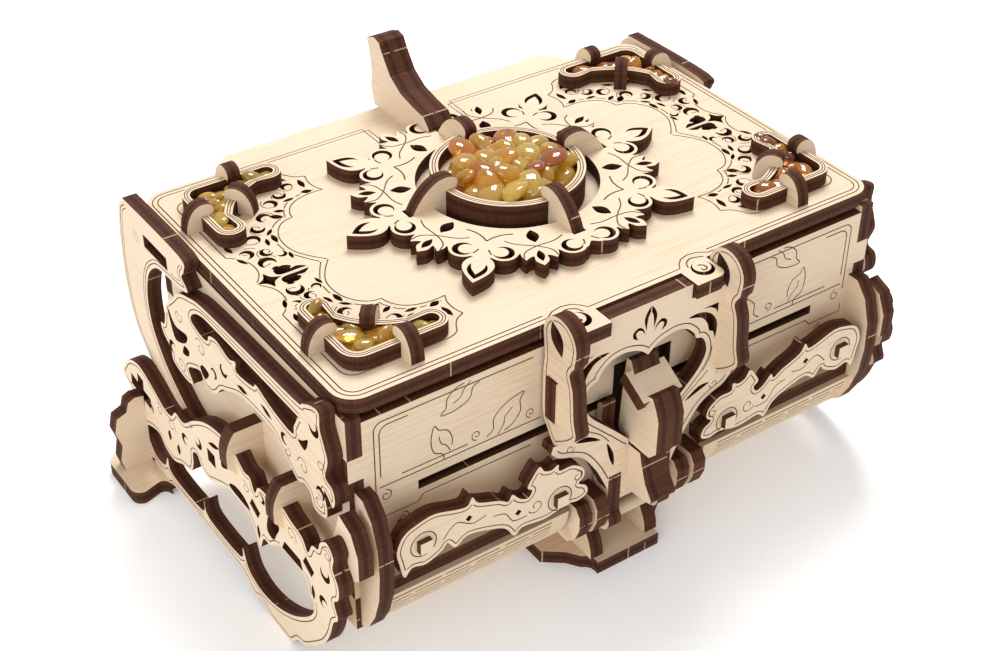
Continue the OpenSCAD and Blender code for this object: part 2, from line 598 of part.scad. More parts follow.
from_middle() horn_left_layer();
from_middle() horn_right_layer();
from_middle() clasp_plate();
from_middle() left_hook_bar();
from_middle() right_hook_bar();
from_middle() clasp_knuckles();
from_middle() lever_axle();
from_middle() lever_left_layer();
from_middle() lever_right_layer();
from_middle() lever_cap();
from_middle() clasp_wedge();
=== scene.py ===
"""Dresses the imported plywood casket: carved plates, claws, amber chips, finishes, light and camera.

Lengths in this script are millimetres in the casket's own frame (x right, y back, z up) and are
turned into metres where a mesh is made. Outlines of plates are drawn about the middle of the lid:
a level plate as (x, y), an upright plate as (x, height over the lid), and an endways plate as
(y, height over the lid).
"""

import logging
import math
from dataclasses import dataclass, field, replace
from enum import Enum
from typing import Iterable, Optional, Sequence

import bpy
import numpy as np
from mathutils import Matrix, Vector
from mathutils.geometry import delaunay_2d_cdt


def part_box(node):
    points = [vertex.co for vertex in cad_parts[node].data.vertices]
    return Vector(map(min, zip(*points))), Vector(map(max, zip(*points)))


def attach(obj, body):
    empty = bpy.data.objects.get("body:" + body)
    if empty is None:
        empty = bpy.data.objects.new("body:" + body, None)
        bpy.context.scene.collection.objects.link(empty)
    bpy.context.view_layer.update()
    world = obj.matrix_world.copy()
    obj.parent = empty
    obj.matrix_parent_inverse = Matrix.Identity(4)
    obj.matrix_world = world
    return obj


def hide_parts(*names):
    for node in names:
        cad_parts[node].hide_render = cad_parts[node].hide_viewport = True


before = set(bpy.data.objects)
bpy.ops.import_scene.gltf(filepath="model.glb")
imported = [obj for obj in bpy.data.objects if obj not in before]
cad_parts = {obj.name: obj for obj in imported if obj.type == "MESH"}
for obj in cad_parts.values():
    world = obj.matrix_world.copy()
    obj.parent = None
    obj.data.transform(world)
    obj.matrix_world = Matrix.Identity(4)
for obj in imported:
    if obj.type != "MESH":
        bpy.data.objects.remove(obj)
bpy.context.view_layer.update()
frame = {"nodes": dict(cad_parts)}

MM = 0.001
PANEL_OUT = 51.5
log = logging.getLogger("casket")
Loop = np.ndarray
Colour = tuple[float, float, float]


# ---------------------------------------------------------------- flat shapes


def smooth(points: Sequence, steps: int = 6, closed: bool = True) -> Loop:
    """Runs a Catmull-Rom curve through the points.

    The cubic between b and c is half of 2b + (c-a)t + (2a-5b+4c-d)t^2 + (3b-a-3c+d)t^3.

    Args:
        points: The points that the curve passes.
        steps: How many pieces each stretch is cut into.
        closed: Whether the curve comes back to its first point.

    Returns:
        The points of the curve.
    """
    p = np.asarray(points, float)
    if not closed:
        p = np.vstack([p[:1], p, p[-1:]])
    a, b, c, d = (np.roll(p, shift, 0) for shift in (1, 0, -1, -2))
    t = np.linspace(0, 1, steps, endpoint=False)[None, :, None]
    a, b, c, d = (q[:, None, :] for q in (a, b, c, d))
    run = (2 * b + (c - a) * t + (2 * a - 5 * b + 4 * c - d) * t**2 + (3 * b - a - 3 * c + d) * t**3) / 2
    if closed:
        return run.reshape(-1, 2)
    return np.vstack([run[1:-2].reshape(-1, 2), p[-1:]])


def arc(centre: Sequence[float], r: float, start: float, stop: float, steps: int = 12) -> Loop:
    """Points along an arc: centre plus r times (cos, sin) of the angle, in degrees."""
    a = np.radians(np.linspace(start, stop, steps + 1))
    return np.column_stack([centre[0] + r * np.cos(a), centre[1] + r * np.sin(a)])


def disc(centre: Sequence[float], r: float, steps: int = 24) -> Loop:
    """A full circle as a loop."""
    return arc(centre, r, 0, 360, steps)[:-1]


def rect(x0: float, x1: float, y0: float, y1: float) -> Loop:
    """A rectangle as a loop."""
    return np.array([[x0, y0], [x1, y0], [x1, y1], [x0, y1]], float)


def lens(start: Sequence[float], stop: Sequence[float], half: float, steps: int = 8) -> Loop:
    """A pointed oval: the half width grows and shrinks as a half sine between its two tips.

    Args:
        start: One tip.
        stop: The other tip.
        half: Half width in the middle.
        steps: How many pieces each side is cut into.

    Returns:
        The oval as a loop.
    """
    a, b = np.asarray(start, float), np.asarray(stop, float)
    along = b - a
    side = np.array([-along[1], along[0]]) / np.hypot(*along)
    t = np.linspace(0, 1, steps + 1)[:, None]
    bulge = side * half * np.sin(np.pi * t)
    return np.vstack([a + along * t + bulge, (a + along * t - bulge)[-2:0:-1]])


def crescent(centre: Sequence[float], r: float, spin: float, bite: float = 0.72,
             shift: float = 0.46) -> Loop:
    """A hook-shaped opening: a round hole less a smaller disc that leans to one side.

    Args:
        centre: Middle of the round hole.
        r: Radius of the round hole.
        spin: Direction, in degrees, in which the disc leans.
        bite: Radius of the disc as a share of r.
        shift: How far the disc's middle is from the hole's, as a share of r.

    Returns:
        The outline of what is left of the hole.
    """
    meet = math.degrees(math.acos((1 + shift**2 - bite**2) / (2 * shift)))
    inner = math.degrees(math.acos(max(-1.0, (1 - shift**2 - bite**2) / (2 * shift * bite))))
    big = arc((0, 0), 1, meet, 360 - meet, 16)
    small = arc((shift, 0), bite, 360 - inner, inner, 12)[1:-1]
    return place(np.vstack([big, small]) * r, centre, spin)


def place(loop: Loop, at: Sequence[float] = (0, 0), spin: float = 0) -> Loop:
    """Turns a loop by spin degrees about the origin and then moves it."""
    c, s = math.cos(math.radians(spin)), math.sin(math.radians(spin))
    return np.asarray(loop, float) @ np.array([[c, s], [-s, c]]) + np.asarray(at, float)


def flip_x(loop: Loop) -> Loop:
    """Mirrors a loop left to right."""
    return np.asarray(loop, float) * (-1, 1)


def flip_y(loop: Loop) -> Loop:
    """Mirrors a loop front to back, or top to bottom."""
    return np.asarray(loop, float) * (1, -1)


def leftwards(loop: Loop) -> Loop:
    """Makes a loop run anticlockwise, by the sign of the area it encloses.

    Args:
        loop: A loop of either hand.

    Returns:
        The same points, in reverse where they ran clockwise.
    """
    x, y = np.asarray(loop, float).T
    area = np.sum(x * np.roll(y, -1) - np.roll(x, -1) * y)
    return loop if area > 0 else loop[::-1]


def both(loops: Iterable[Loop]) -> list[Loop]:
    """The loops and their left-right mirrored twins."""
    loops = list(loops)
    return loops + [flip_x(loop) for loop in loops]


def whole(half: Sequence) -> Loop:
    """A loop from its right half, mirrored to the left."""
    half = np.asarray(half, float)
    return np.vstack([half, flip_x(half)[::-1]])


def spiral(centre: Sequence[float], r: float, turns: float, spin: float, hand: int = 1) -> Loop:
    """A curl that winds inwards: the radius falls evenly from r to 0.22 of it.

    Args:
        centre: The point that it winds round.
        r: Radius at its outer end.
        turns: How many turns it makes.
        spin: Direction of its outer end, in degrees.
        hand: 1 to wind anticlockwise, -1 to wind clockwise.

    Returns:
        The points of the curl.
    """
    t = np.linspace(0, 1, int(16 * turns) + 1)
    a = math.radians(spin) + hand * 2 * math.pi * turns * t
    radius = r * (1 - 0.78 * t)
    return np.column_stack([centre[0] + radius * np.cos(a), centre[1] + radius * np.sin(a)])


@dataclass(frozen=True)
class Line:
    """An engraved line: its points, its width in mm and whether it closes on itself."""

    points: Loop
    width: float = 0.34
    closed: bool = False

    def moved(self, loop: Loop) -> "Line":
        """The same line through other points."""
        return replace(self, points=loop)

    def quads(self) -> np.ndarray:
        """Four corners for each stretch of the line, half its width to each side.

        At each point the side direction is the mean of its two stretches' normals, so that
        neighbouring stretches share their corners.

        Returns:
            An array of one quad for each stretch, as corners of x and y.
        """
        p = np.asarray(self.points, float)
        gap = np.hypot(*np.diff(p, axis=0).T) > 1e-6
        p = p[np.concatenate([[True], gap])]
        if self.closed:
            ring = np.vstack([p[-1:], p, p[:1]])
        else:
            ring = np.vstack([2 * p[:1] - p[1:2], p, 2 * p[-1:] - p[-2:-1]])
        step = np.diff(ring, axis=0)
        step /= np.maximum(np.hypot(*step.T), 1e-9)[:, None]
        mean = step[1:] + step[:-1]
        mean /= np.maximum(np.hypot(*mean.T), 0.4)[:, None]
        side = np.column_stack([-mean[:, 1], mean[:, 0]]) * self.width / 2
        left, right = p + side, p - side
        if self.closed:
            left, right = np.vstack([left, left[:1]]), np.vstack([right, right[:1]])
        return np.stack([right[:-1], right[1:], left[1:], left[:-1]], 1)


def contour(loops: Sequence[Loop], inset: float, width: float = 0.32) -> list[Line]:
    """Lines that follow the inside of a plate's edges at an even distance.

    Each point of an edge is shifted along its normal, and is kept where no edge is nearer
    than that distance, so the lines stop where the wood gets too narrow.

    Args:
        loops: The plate's outline first, and then its openings.
        inset: Distance from the edge.
        width: Width of the lines.

    Returns:
        The lines that are long enough to engrave.
    """
    edges = np.vstack([np.vstack([loop, (loop + np.roll(loop, -1, 0)) / 2]) for loop in loops])
    lines = []
    for k, loop in enumerate(loops):
        step = np.roll(loop, -1, 0) - np.roll(loop, 1, 0)
        x, y = loop.T
        area = np.sum(x * np.roll(y, -1) - np.roll(x, -1) * y)
        inwards = np.sign(area) * (1 if k == 0 else -1)
        normal = np.column_stack([-step[:, 1], step[:, 0]]) / np.maximum(np.hypot(*step.T), 1e-9)[:, None]
        moved = loop + normal * inwards * inset
        near = np.sqrt(((moved[:, None, :] - edges[None]) ** 2).sum(2).min(1))
        good = near > 0.9 * inset
        if good.all():
            lines.append(Line(moved, width, True))
            continue
        first = int(np.argmin(good))
        good, moved = np.roll(good, -first), np.roll(moved, -first, 0)
        cuts = np.flatnonzero(np.diff(good.astype(int))) + 1
        for run in np.split(np.arange(len(good)), cuts):
            if good[run[0]] and len(run) > 5:
                lines.append(Line(moved[run], width))
    return lines


# ---------------------------------------------------------------- where things are


@dataclass(frozen=True)
class Datum:
    """The few places, in mm, that everything is drawn from."""

    lid_y: float
    lid_top: float
    ply: float
    half_wall: float
    half_frame: float

    @classmethod
    def from_frame(cls) -> "Datum":
        """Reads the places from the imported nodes.

        Returns:
            The places, measured from the boxes of the panel, lid, wall and side frame.
        """
        panel_low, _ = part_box("upper_front_panel")
        lid_low, lid_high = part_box("lid_plate")
        wall_low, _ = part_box("left_wall")
        side_low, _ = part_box("left_side_frame")
        return cls(
            lid_y=panel_low.y / MM + PANEL_OUT,
            lid_top=lid_high.z / MM,
            ply=(lid_high.z - lid_low.z) / MM,
            half_wall=-wall_low.x / MM,
            half_frame=-side_low.x / MM,
        )


class Lay(Enum):
    """Which way a plate's thickness runs, with its shift for drawing and its axis."""

    LEVEL = 2
    UPRIGHT = 1
    ENDWAYS = 0

    def shift(self, datum: Datum) -> tuple[float, float]:
        """Where the drawing's origin lies in the plate's plane."""
        return {
            Lay.LEVEL: (0.0, datum.lid_y),
            Lay.UPRIGHT: (0.0, datum.lid_top),
            Lay.ENDWAYS: (datum.lid_y, datum.lid_top),
        }[self]

    def solid(self, u: np.ndarray, v: np.ndarray, t: np.ndarray) -> np.ndarray:
        """Turns plane coordinates and depth into x, y, z."""
        order = {Lay.LEVEL: (u, v, t), Lay.UPRIGHT: (u, t, v), Lay.ENDWAYS: (t, u, v)}[self]
        return np.column_stack(order)


# ---------------------------------------------------------------- shader maths


class Sock:
    """A shader socket on which Python's operators add Math nodes."""

    def __init__(self, sheet: "Nodes", socket: bpy.types.NodeSocket) -> None:
        """Wraps a socket of the given node sheet."""
        self.sheet = sheet
        self.socket = socket

    def _math(self, operation: str, a: object, b: object) -> "Sock":
        """Adds one Math node."""
        return self.sheet.node("ShaderNodeMath", {"operation": operation}, {0: a, 1: b})

    def __add__(self, other: object) -> "Sock":
        """self + other."""
        return self._math("ADD", self, other)

    __radd__ = __add__

    def __sub__(self, other: object) -> "Sock":
        """self - other."""
        return self._math("SUBTRACT", self, other)

    def __rsub__(self, other: object) -> "Sock":
        """other - self."""
        return self._math("SUBTRACT", other, self)

    def __mul__(self, other: object) -> "Sock":
        """self * other."""
        return self._math("MULTIPLY", self, other)

    __rmul__ = __mul__

    def __truediv__(self, other: object) -> "Sock":
        """self / other."""
        return self._math("DIVIDE", self, other)

    def __gt__(self, other: object) -> "Sock":
        """1 where self is greater than other, else 0."""
        return self._math("GREATER_THAN", self, other)

    def __lt__(self, other: object) -> "Sock":
        """1 where self is less than other, else 0."""
        return self._math("LESS_THAN", self, other)

    def __abs__(self) -> "Sock":
        """The size of self without its sign."""
        return self._math("ABSOLUTE", self, 0.0)


class Nodes:
    """One material's node sheet."""

    def __init__(self, name: str) -> None:
        """Makes an empty material with a Principled shader.

        Args:
            name: Name of the material.
        """
        self.material = bpy.data.materials.new(name)
        self.material.use_nodes = True
        self.tree = self.material.node_tree
        self.tree.nodes.clear()
        self.shader = self.tree.nodes.new("ShaderNodeBsdfPrincipled")
        out = self.tree.nodes.new("ShaderNodeOutputMaterial")
        self.tree.links.new(self.shader.outputs[0], out.inputs["Surface"])

    def set(self, target: bpy.types.NodeSocket, value: object) -> None:
        """Links a Sock to a socket, or writes a plain value on it."""
        if isinstance(value, Sock):
            self.tree.links.new(value.socket, target)
        else:
            target.default_value = value

    def node(self, kind: str, settings: dict, inputs: dict, output: object = 0) -> Sock:
        """Adds any node.

        Args:
            kind: The node's type.
            settings: What is set on the node itself, such as its operation, or a ramp's stops.
            inputs: Socket index or name, and its value or link.
            output: Index or name of the output wanted.

        Returns:
            The wrapped output.
        """
        made = self.tree.nodes.new(kind)
        for key, value in settings.items():
            if key == "stops":
                ramp = made.color_ramp
                while len(ramp.elements) < len(value):
                    ramp.elements.new(0.5)
                for element, (place_, colour) in zip(ramp.elements, value):
                    element.position = place_
                    element.color = (*colour, 1.0)
            else:
                setattr(made, key, value)
        for key, value in inputs.items():
            self.set(made.inputs[key], value)
        return Sock(self, made.outputs[output])

    def object_point(self, rotation: Sequence[float], spin: float, kind: str = "POINT") -> Sock:
        """Object coordinates in mm, or the object's normal, turned into a plate's own axes.

        Args:
            rotation: Turns about x, y and z, in degrees.
            spin: Turn about z that is undone first, in degrees.
            kind: POINT for coordinates or NORMAL for the normal.

        Returns:
            The turned vector.
        """
        source = self.node("ShaderNodeTexCoord", {}, {}, "Object" if kind == "POINT" else "Normal")
        if spin:
            turn = {"Vector": source, "Rotation": (0.0, 0.0, -math.radians(spin))}
            source = self.node("ShaderNodeMapping", {"vector_type": kind}, turn)
        turn = {"Vector": source, "Rotation": tuple(math.radians(a) for a in rotation)}
        if kind == "POINT":
            turn["Scale"] = (1 / MM,) * 3
        return self.node("ShaderNodeMapping", {"vector_type": kind}, turn)

    def stretched(self, vector: Sock, scale: Sequence[float]) -> Sock:
        """A vector multiplied by a scale along each axis."""
        return self.node("ShaderNodeVectorMath", {"operation": "MULTIPLY"}, {0: vector, 1: tuple(scale)})

    def noise(self, vector: Sock, scale: float, detail: float = 2.0, roughness: float = 0.5) -> Sock:
        """Noise between 0 and 1."""
        values = {"Vector": vector, "Scale": scale, "Detail": detail, "Roughness": roughness}
        return self.node("ShaderNodeTexNoise", {}, values)

    def mix(self, factor: object, a: object, b: object) -> Sock:
        """A colour between a and b."""
        inputs = {0: factor, 6: self.rgba(a), 7: self.rgba(b)}
        return self.node("ShaderNodeMix", {"data_type": "RGBA"}, inputs, 2)

    @staticmethod
    def rgba(colour: object) -> object:
        """Adds an alpha of 1 to a plain colour."""
        return colour if isinstance(colour, Sock) else (*colour, 1.0)

    def ramp(self, value: Sock, stops: Sequence[tuple[float, Colour]]) -> Sock:
        """Colours from a value through a ramp."""
        return self.node("ShaderNodeValToRGB", {"stops": stops}, {0: value})

    def split(self, vector: Sock) -> tuple[Sock, Sock, Sock]:
        """Takes a vector apart.

        Args:
            vector: The vector.

        Returns:
            Its x, y and z.
        """
        made = self.tree.nodes.new("ShaderNodeSeparateXYZ")
        self.set(made.inputs[0], vector)
        return tuple(Sock(self, made.outputs[k]) for k in range(3))

    def finish(self, bump: Optional[Sock] = None, strength: float = 0.2, distance: float = 0.0002,
               **values: object) -> bpy.types.Material:
        """Sets the shader's sockets and an optional bump.

        Args:
            bump: Height of the relief, if any.
            strength: Strength of the relief.
            distance: Depth of the relief in metres.
            **values: Sockets of the shader, named in lower case with underscores.

        Returns:
            The finished material.
        """
        names = {s.name.lower().replace(" ", "_"): s for s in self.shader.inputs}
        for key, value in values.items():
            colour = isinstance(value, tuple) and len(value) == 3 and names[key].type == "RGBA"
            self.set(names[key], self.rgba(value) if colour else value)
        if bump is not None:
            height = {"Height": bump, "Strength": strength, "Distance": distance}
            self.set(names["normal"], self.node("ShaderNodeBump", {}, height))
        return self.material


# ---------------------------------------------------------------- finishes


@dataclass(frozen=True)
class Plywood:
    """Sanded birch plywood with laser-burnt edges."""

    light: Colour = (0.79, 0.63, 0.455)
    dark: Colour = (0.67, 0.49, 0.315)
    burnt: Colour = (0.045, 0.013, 0.0055)
    singed: Colour = (0.150, 0.050, 0.020)
    tick: Colour = (0.60, 0.42, 0.26)
    rotations = {Lay.LEVEL: (0, 0, 0), Lay.UPRIGHT: (90, 0, 0), Lay.ENDWAYS: (0, -90, 0)}

    def material(self, lay: Lay, low: float, ply: float = 4.0, spin: float = 0.0,
                 tilt: float = 0.0) -> bpy.types.Material:
        """The finish for plates that lie one way.

        Args:
            lay: Which way the thickness runs.
            low: Place of the plate's lower face along the thickness, in mm.
            ply: Thickness in mm.
            spin: Turn of the plate about the vertical, in degrees.
            tilt: Further turn about the x axis, in degrees.

        Returns:
            A material, the same one each time for the same values.
        """
        name = f"plywood_{lay.name.lower()}_{low:.1f}_{spin:g}_{tilt:g}"
        made = bpy.data.materials.get(name)
        return made or self._make(name, lay, low, ply, spin, tilt)

    def _make(self, name: str, lay: Lay, low: float, ply: float, spin: float,
              tilt: float) -> bpy.types.Material:
        """Builds the node sheet: grain on the faces, plies and soot streaks on the edges.

        A face is told from an edge by how far the normal leans to the plate's thickness. On an
        edge, the place through the thickness, from 0 to 1, darkens the two outer plies.

        Args:
            name: Name of the material.
            lay: Which way the thickness runs.
            low: Place of the plate's lower face along the thickness, in mm.
            ply: Thickness in mm.
            spin: Turn of the plate about the vertical, in degrees.
            tilt: Further turn about the x axis, in degrees.

        Returns:
            The new material.
        """
        n = Nodes(name)
        rx, ry, rz = self.rotations[lay]
        point = n.object_point((rx + tilt, ry, rz), spin)
        normal = n.object_point((rx + tilt, ry, rz), spin, "NORMAL")
        along, across, depth = n.split(point)
        _, _, facing = n.split(normal)
        on_face = abs(facing) > 0.7
        grain = (1.5, 0.05, 1.0) if lay is Lay.ENDWAYS else (0.05, 1.5, 1.0)
        fibre = n.noise(n.stretched(point, grain), 0.9, 4.0, 0.62)
        cloud = n.noise(n.stretched(point, (0.02, 0.02, 0.02)), 1.0, 2.0)
        shade = fibre * 0.75 + cloud * 0.45
        face = n.ramp(shade, [(0.34, self.dark), (0.60, self.light), (0.90, self.light)])
        share = (depth - low) / ply
        streak = n.noise(n.stretched(point, (1.6, 1.6, 0.16)), 1.0, 3.0, 0.6)
        plies = abs(share - 0.5) > 0.17
        soot = streak * 0.55 + plies * 0.22
        edge = n.ramp(soot, [(0.28, self.burnt), (0.80, self.singed)])
        cell = n.node("ShaderNodeTexVoronoi", {"voronoi_dimensions": "2D"},
                      {"Vector": n.stretched(point, (1, 1, 0)), "Scale": 0.22})
        mark = (cell < 0.045) * (n.noise(n.stretched(point, (0.5, 0.5, 0.5)), 1.0) > 0.42)
        edge = n.mix(mark * 0.8, edge, self.tick)
        colour = n.mix(on_face, edge, face)
        rough = on_face * -0.22 + 0.80
        relief = fibre * on_face + streak * (1 - on_face) * 2.0
        return n.finish(relief, 0.25, 0.00006, base_color=colour, roughness=rough,
                        specular_ior_level=0.25)


@dataclass(frozen=True)
class Engraving:
    """The scorched floor of an engraved line."""

    brown: Colour = (0.16, 0.075, 0.035)
    tan: Colour = (0.30, 0.165, 0.085)

    def material(self) -> bpy.types.Material:
        """The one engraving finish, with uneven scorching.

        Returns:
            The material, made once and then found by its name.
        """
        made = bpy.data.materials.get("engraved_line")
        if made:
            return made
        n = Nodes("engraved_line")
        point = n.object_point((0, 0, 0), 0)
        scorch = n.noise(point, 0.45, 3.0)
        return n.finish(scorch, 0.2, 0.00005, base_color=n.mix(scorch, self.brown, self.tan),
                        roughness=0.8)


@dataclass(frozen=True)
class Dowel:
    """A smooth round stick of pale wood with its grain along x."""

    light: Colour = (0.74, 0.60, 0.41)
    dark: Colour = (0.60, 0.45, 0.28)

    def material(self) -> bpy.types.Material:
        """The one dowel finish.

        Returns:
            The material, made once and then found by its name.
        """
        made = bpy.data.materials.get("dowel_wood")
        if made:
            return made
        n = Nodes("dowel_wood")
        point = n.object_point((0, 0, 0), 0)
        fibre = n.noise(n.stretched(point, (0.08, 2.0, 2.0)), 1.0, 4.0)
        return n.finish(fibre, 0.2, 0.00005, base_color=n.mix(fibre, self.dark, self.light),
                        roughness=0.55)


@dataclass(frozen=True)
class ReededSheet:
    """Thin birch sheet whose slits are scorched, from each point's own cut value."""

    light: Colour = (0.79, 0.62, 0.44)
    dark: Colour = (0.67, 0.49, 0.31)
    burnt: Colour = (0.050, 0.020, 0.010)

    def material(self) -> bpy.types.Material:
        """The one finish for bent sheet.

        Returns:
            The new material.
        """
        n = Nodes("reeded_birch")
        cut = n.node("ShaderNodeAttribute", {"attribute_name": "cut"}, {}, "Fac")
        point = n.object_point((0, 0, 0), 0)
        fibre = n.noise(n.stretched(point, (0.05, 1.5, 1.5)), 0.9, 4.0)
        colour = n.mix(cut, n.mix(fibre, self.dark, self.light), self.burnt)
        return n.finish(fibre, 0.2, 0.00005, base_color=colour, roughness=0.62)


@dataclass(frozen=True)
class Amber:
    """Polished translucent amber, from lemon to cognac by each chip's own tint."""

    stops: tuple = (
        (0.00, (0.88, 0.66, 0.13)),
        (0.25, (0.82, 0.58, 0.09)),
        (0.50, (0.80, 0.38, 0.025)),
        (0.75, (0.62, 0.17, 0.010)),
        (1.00, (0.26, 0.045, 0.006)),
    )

    def material(self) -> bpy.types.Material:
        """The one amber finish: clouds inside the stone, a wet gloss and a faint painted glow.

        Returns:
            The new material.
        """
        n = Nodes("amber_stone")
        tint = n.node("ShaderNodeAttribute", {"attribute_name": "tint"}, {}, "Fac")
        point = n.object_point((0, 0, 0), 0)
        cloud = n.noise(point, 0.35, 3.0, 0.55)
        colour = n.ramp(tint + (cloud - 0.5) * 0.45, self.stops)
        milky = n.mix((cloud - 0.5) * 0.8, colour, (0.92, 0.72, 0.26))
        # the emission in the chip's own colour is a painted glow, so the stones look lit from within
        return n.finish(cloud, 0.12, 0.0001, base_color=milky, roughness=0.05, transmission_weight=0.72,
                        ior=1.54, coat_weight=0.4, emission_color=colour, emission_strength=0.05)


# ---------------------------------------------------------------- carved plates


@dataclass
class Plate:
    """One laser-cut plate: a flat outline with openings and engraved lines, given a thickness."""

    name: str
    body: str
    lay: Lay
    low: float
    outline: list
    holes: list = field(default_factory=list)
    lines: list = field(default_factory=list)
    ply: float = 4.0
    high_side: bool = True
    stands_for: tuple = ()
    spin: float = 0.0
    at: tuple = (0.0, 0.0)
    depth: float = 0.3

    @property
    def _stands_apart(self) -> bool:
        """Whether the plate stands upright on a place of its own, as a claw does."""
        return self.lay is Lay.UPRIGHT and self.at != (0.0, 0.0)

    def mirrored(self, name: str, *stands_for: str) -> "Plate":
        """The same plate on the other side of the casket."""
        if self.lay is Lay.ENDWAYS:
            return replace(self, name=name, stands_for=stands_for, low=-self.low - self.ply,
                           high_side=not self.high_side)
        return replace(
            self, name=name, stands_for=stands_for,
            outline=[flip_x(loop) for loop in self.outline],
            holes=[flip_x(loop) for loop in self.holes],
            lines=[line.moved(flip_x(line.points)) for line in self.lines])

    def _triangles(self) -> tuple[np.ndarray, np.ndarray, np.ndarray]:
        """Cuts the drawing into triangles.

        Returns:
            The flat points, the triangles that hold wood, and which of them are engraved.
        """
        loops = [np.asarray(loop, float) for loop in self.outline + self.holes]
        kinds = [0] * len(self.outline) + [1] * len(self.holes)
        for line in self.lines:
            quads = line.quads()
            loops.extend(quads)
            kinds.extend([2] * len(quads))
        loops = [leftwards(loop) for loop in loops]
        starts = np.cumsum([0] + [len(loop) for loop in loops])
        faces = [list(range(a, b)) for a, b in zip(starts[:-1], starts[1:])]
        corners = np.vstack(loops).tolist()
        points, _, tris, _, _, sources = delaunay_2d_cdt(corners, [], faces, 1, 1e-5, True)
        flags = np.zeros((len(tris), 3), bool)
        kind_of = np.array(kinds)
        for row, found in zip(flags, sources):
            row[kind_of[found]] = True
        flat, tris = np.array([tuple(p) for p in points]), np.array(tris)
        keep = flags[:, 0] & ~flags[:, 1]
        tris, cut = tris[keep], flags[keep, 2]
        a, b, c = (flat[tris[:, k]] for k in range(3))
        turn = (b[:, 0] - a[:, 0]) * (c[:, 1] - a[:, 1]) - (b[:, 1] - a[:, 1]) * (c[:, 0] - a[:, 0])
        tris[turn < 0] = tris[turn < 0][:, ::-1]
        return flat, tris, cut

    def _shell(self) -> tuple[np.ndarray, np.ndarray, np.ndarray, np.ndarray]:
        """Gives the drawing its thickness, its side walls and its engraved steps.

        Three layers of points are stacked: the engraved face, the floor of the lines and the
        plain face. A side of a triangle with no neighbour becomes a wall through the plate,
        and one between plain and engraved wood becomes a small step. Lines stop one triangle
        short of the plate's edges, so that the solid stays closed.

        Returns:
            The solid points, the triangles, the four-sided walls, and a flag for each of
            these faces that belongs to an engraved line.
        """
        flat, tris, cut = self._triangles()
        count = len(flat)
        under = tris[:, ::-1] + 2 * count
        sides = np.concatenate([tris[:, [0, 1]], tris[:, [1, 2]], tris[:, [2, 0]]])
        owner = np.tile(np.arange(len(tris)), 3)
        key = sides.min(1) * count + sides.max(1)
        order = np.argsort(key, kind="stable")
        same = key[order][1:] == key[order][:-1]
        mate = np.full(len(key), -1)
        first, second = order[:-1][same], order[1:][same]
        mate[first], mate[second] = second, first
        edge = mate < 0
        a, b = sides[edge].T
        walls = np.column_stack([a + 2 * count, b + 2 * count, b, a])
        rim = np.zeros(count, bool)
        rim[a] = rim[b] = True
        cut &= ~rim[tris].any(1)
        top = tris + np.where(cut, count, 0)[:, None]
        step = ~edge
        step[step] = ~cut[owner[step]] & cut[owner[mate[step]]]
        a, b = sides[step].T
        steps = np.column_stack([a + count, b + count, b, a])
        far, near = (self.low, self.low + self.ply) if self.high_side else (self.low + self.ply, self.low)
        inwards = -self.depth if self.high_side else self.depth
        level = np.repeat([near, near + inwards, far], count)
        u, v = np.tile(flat, (3, 1)).T
        flags = np.concatenate([cut, np.zeros(len(tris), bool), np.zeros(len(walls), bool),
                                np.ones(len(steps), bool)])
        return np.column_stack([u, v, level]), np.vstack([top, under]), np.vstack([walls, steps]), flags

    def build(self, datum: Datum, finish: Plywood) -> bpy.types.Object:
        """Makes the plate's object, dresses it and sets it on its body.

        Args:
            datum: The casket's places.
            finish: The plywood.

        Returns:
            The new object.
        """
        local, tris, quads, flags = self._shell()
        u, v, t = local.T
        if self.spin or self._stands_apart:
            c, s = math.cos(math.radians(self.spin)), math.sin(math.radians(self.spin))
            x, y = self.at
            solid = np.column_stack([x + u * c - t * s, y + u * s + t * c, v])
            solid += (0, datum.lid_y, datum.lid_top)
        else:
            du, dv = self.lay.shift(datum)
            solid = self.lay.solid(u + du, v + dv, t)
        backwards = (self.lay is Lay.UPRIGHT) != (not self.high_side)
        if backwards:
            tris, quads = tris[:, ::-1], quads[:, ::-1]
        made = solid_object(self.name, solid * MM, [tris, quads])
        face = self._face_place(datum)
        made.data.materials.append(finish.material(self.lay, face, self.ply, self.spin))
        if flags.any():
            made.data.materials.append(Engraving().material())
            made.data.polygons.foreach_set("material_index", flags.astype(np.int32))
        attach(made, self.body)
        if self.stands_for:
            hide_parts(*self.stands_for)
        log.info("%s: %d faces on %s", self.name, len(flags), self.body)
        return made

    def _face_place(self, datum: Datum) -> float:
        """Finds the lower face's place along the thickness, in the plate's turned axes.

        Args:
            datum: The casket's places.

        Returns:
            The place in mm.
        """
        if not self.spin:
            return self.low + (self.at[1] + datum.lid_y if self._stands_apart else 0)
        a = math.radians(self.spin)
        return self.low - self.at[0] * math.sin(a) + (self.at[1] + datum.lid_y) * math.cos(a)


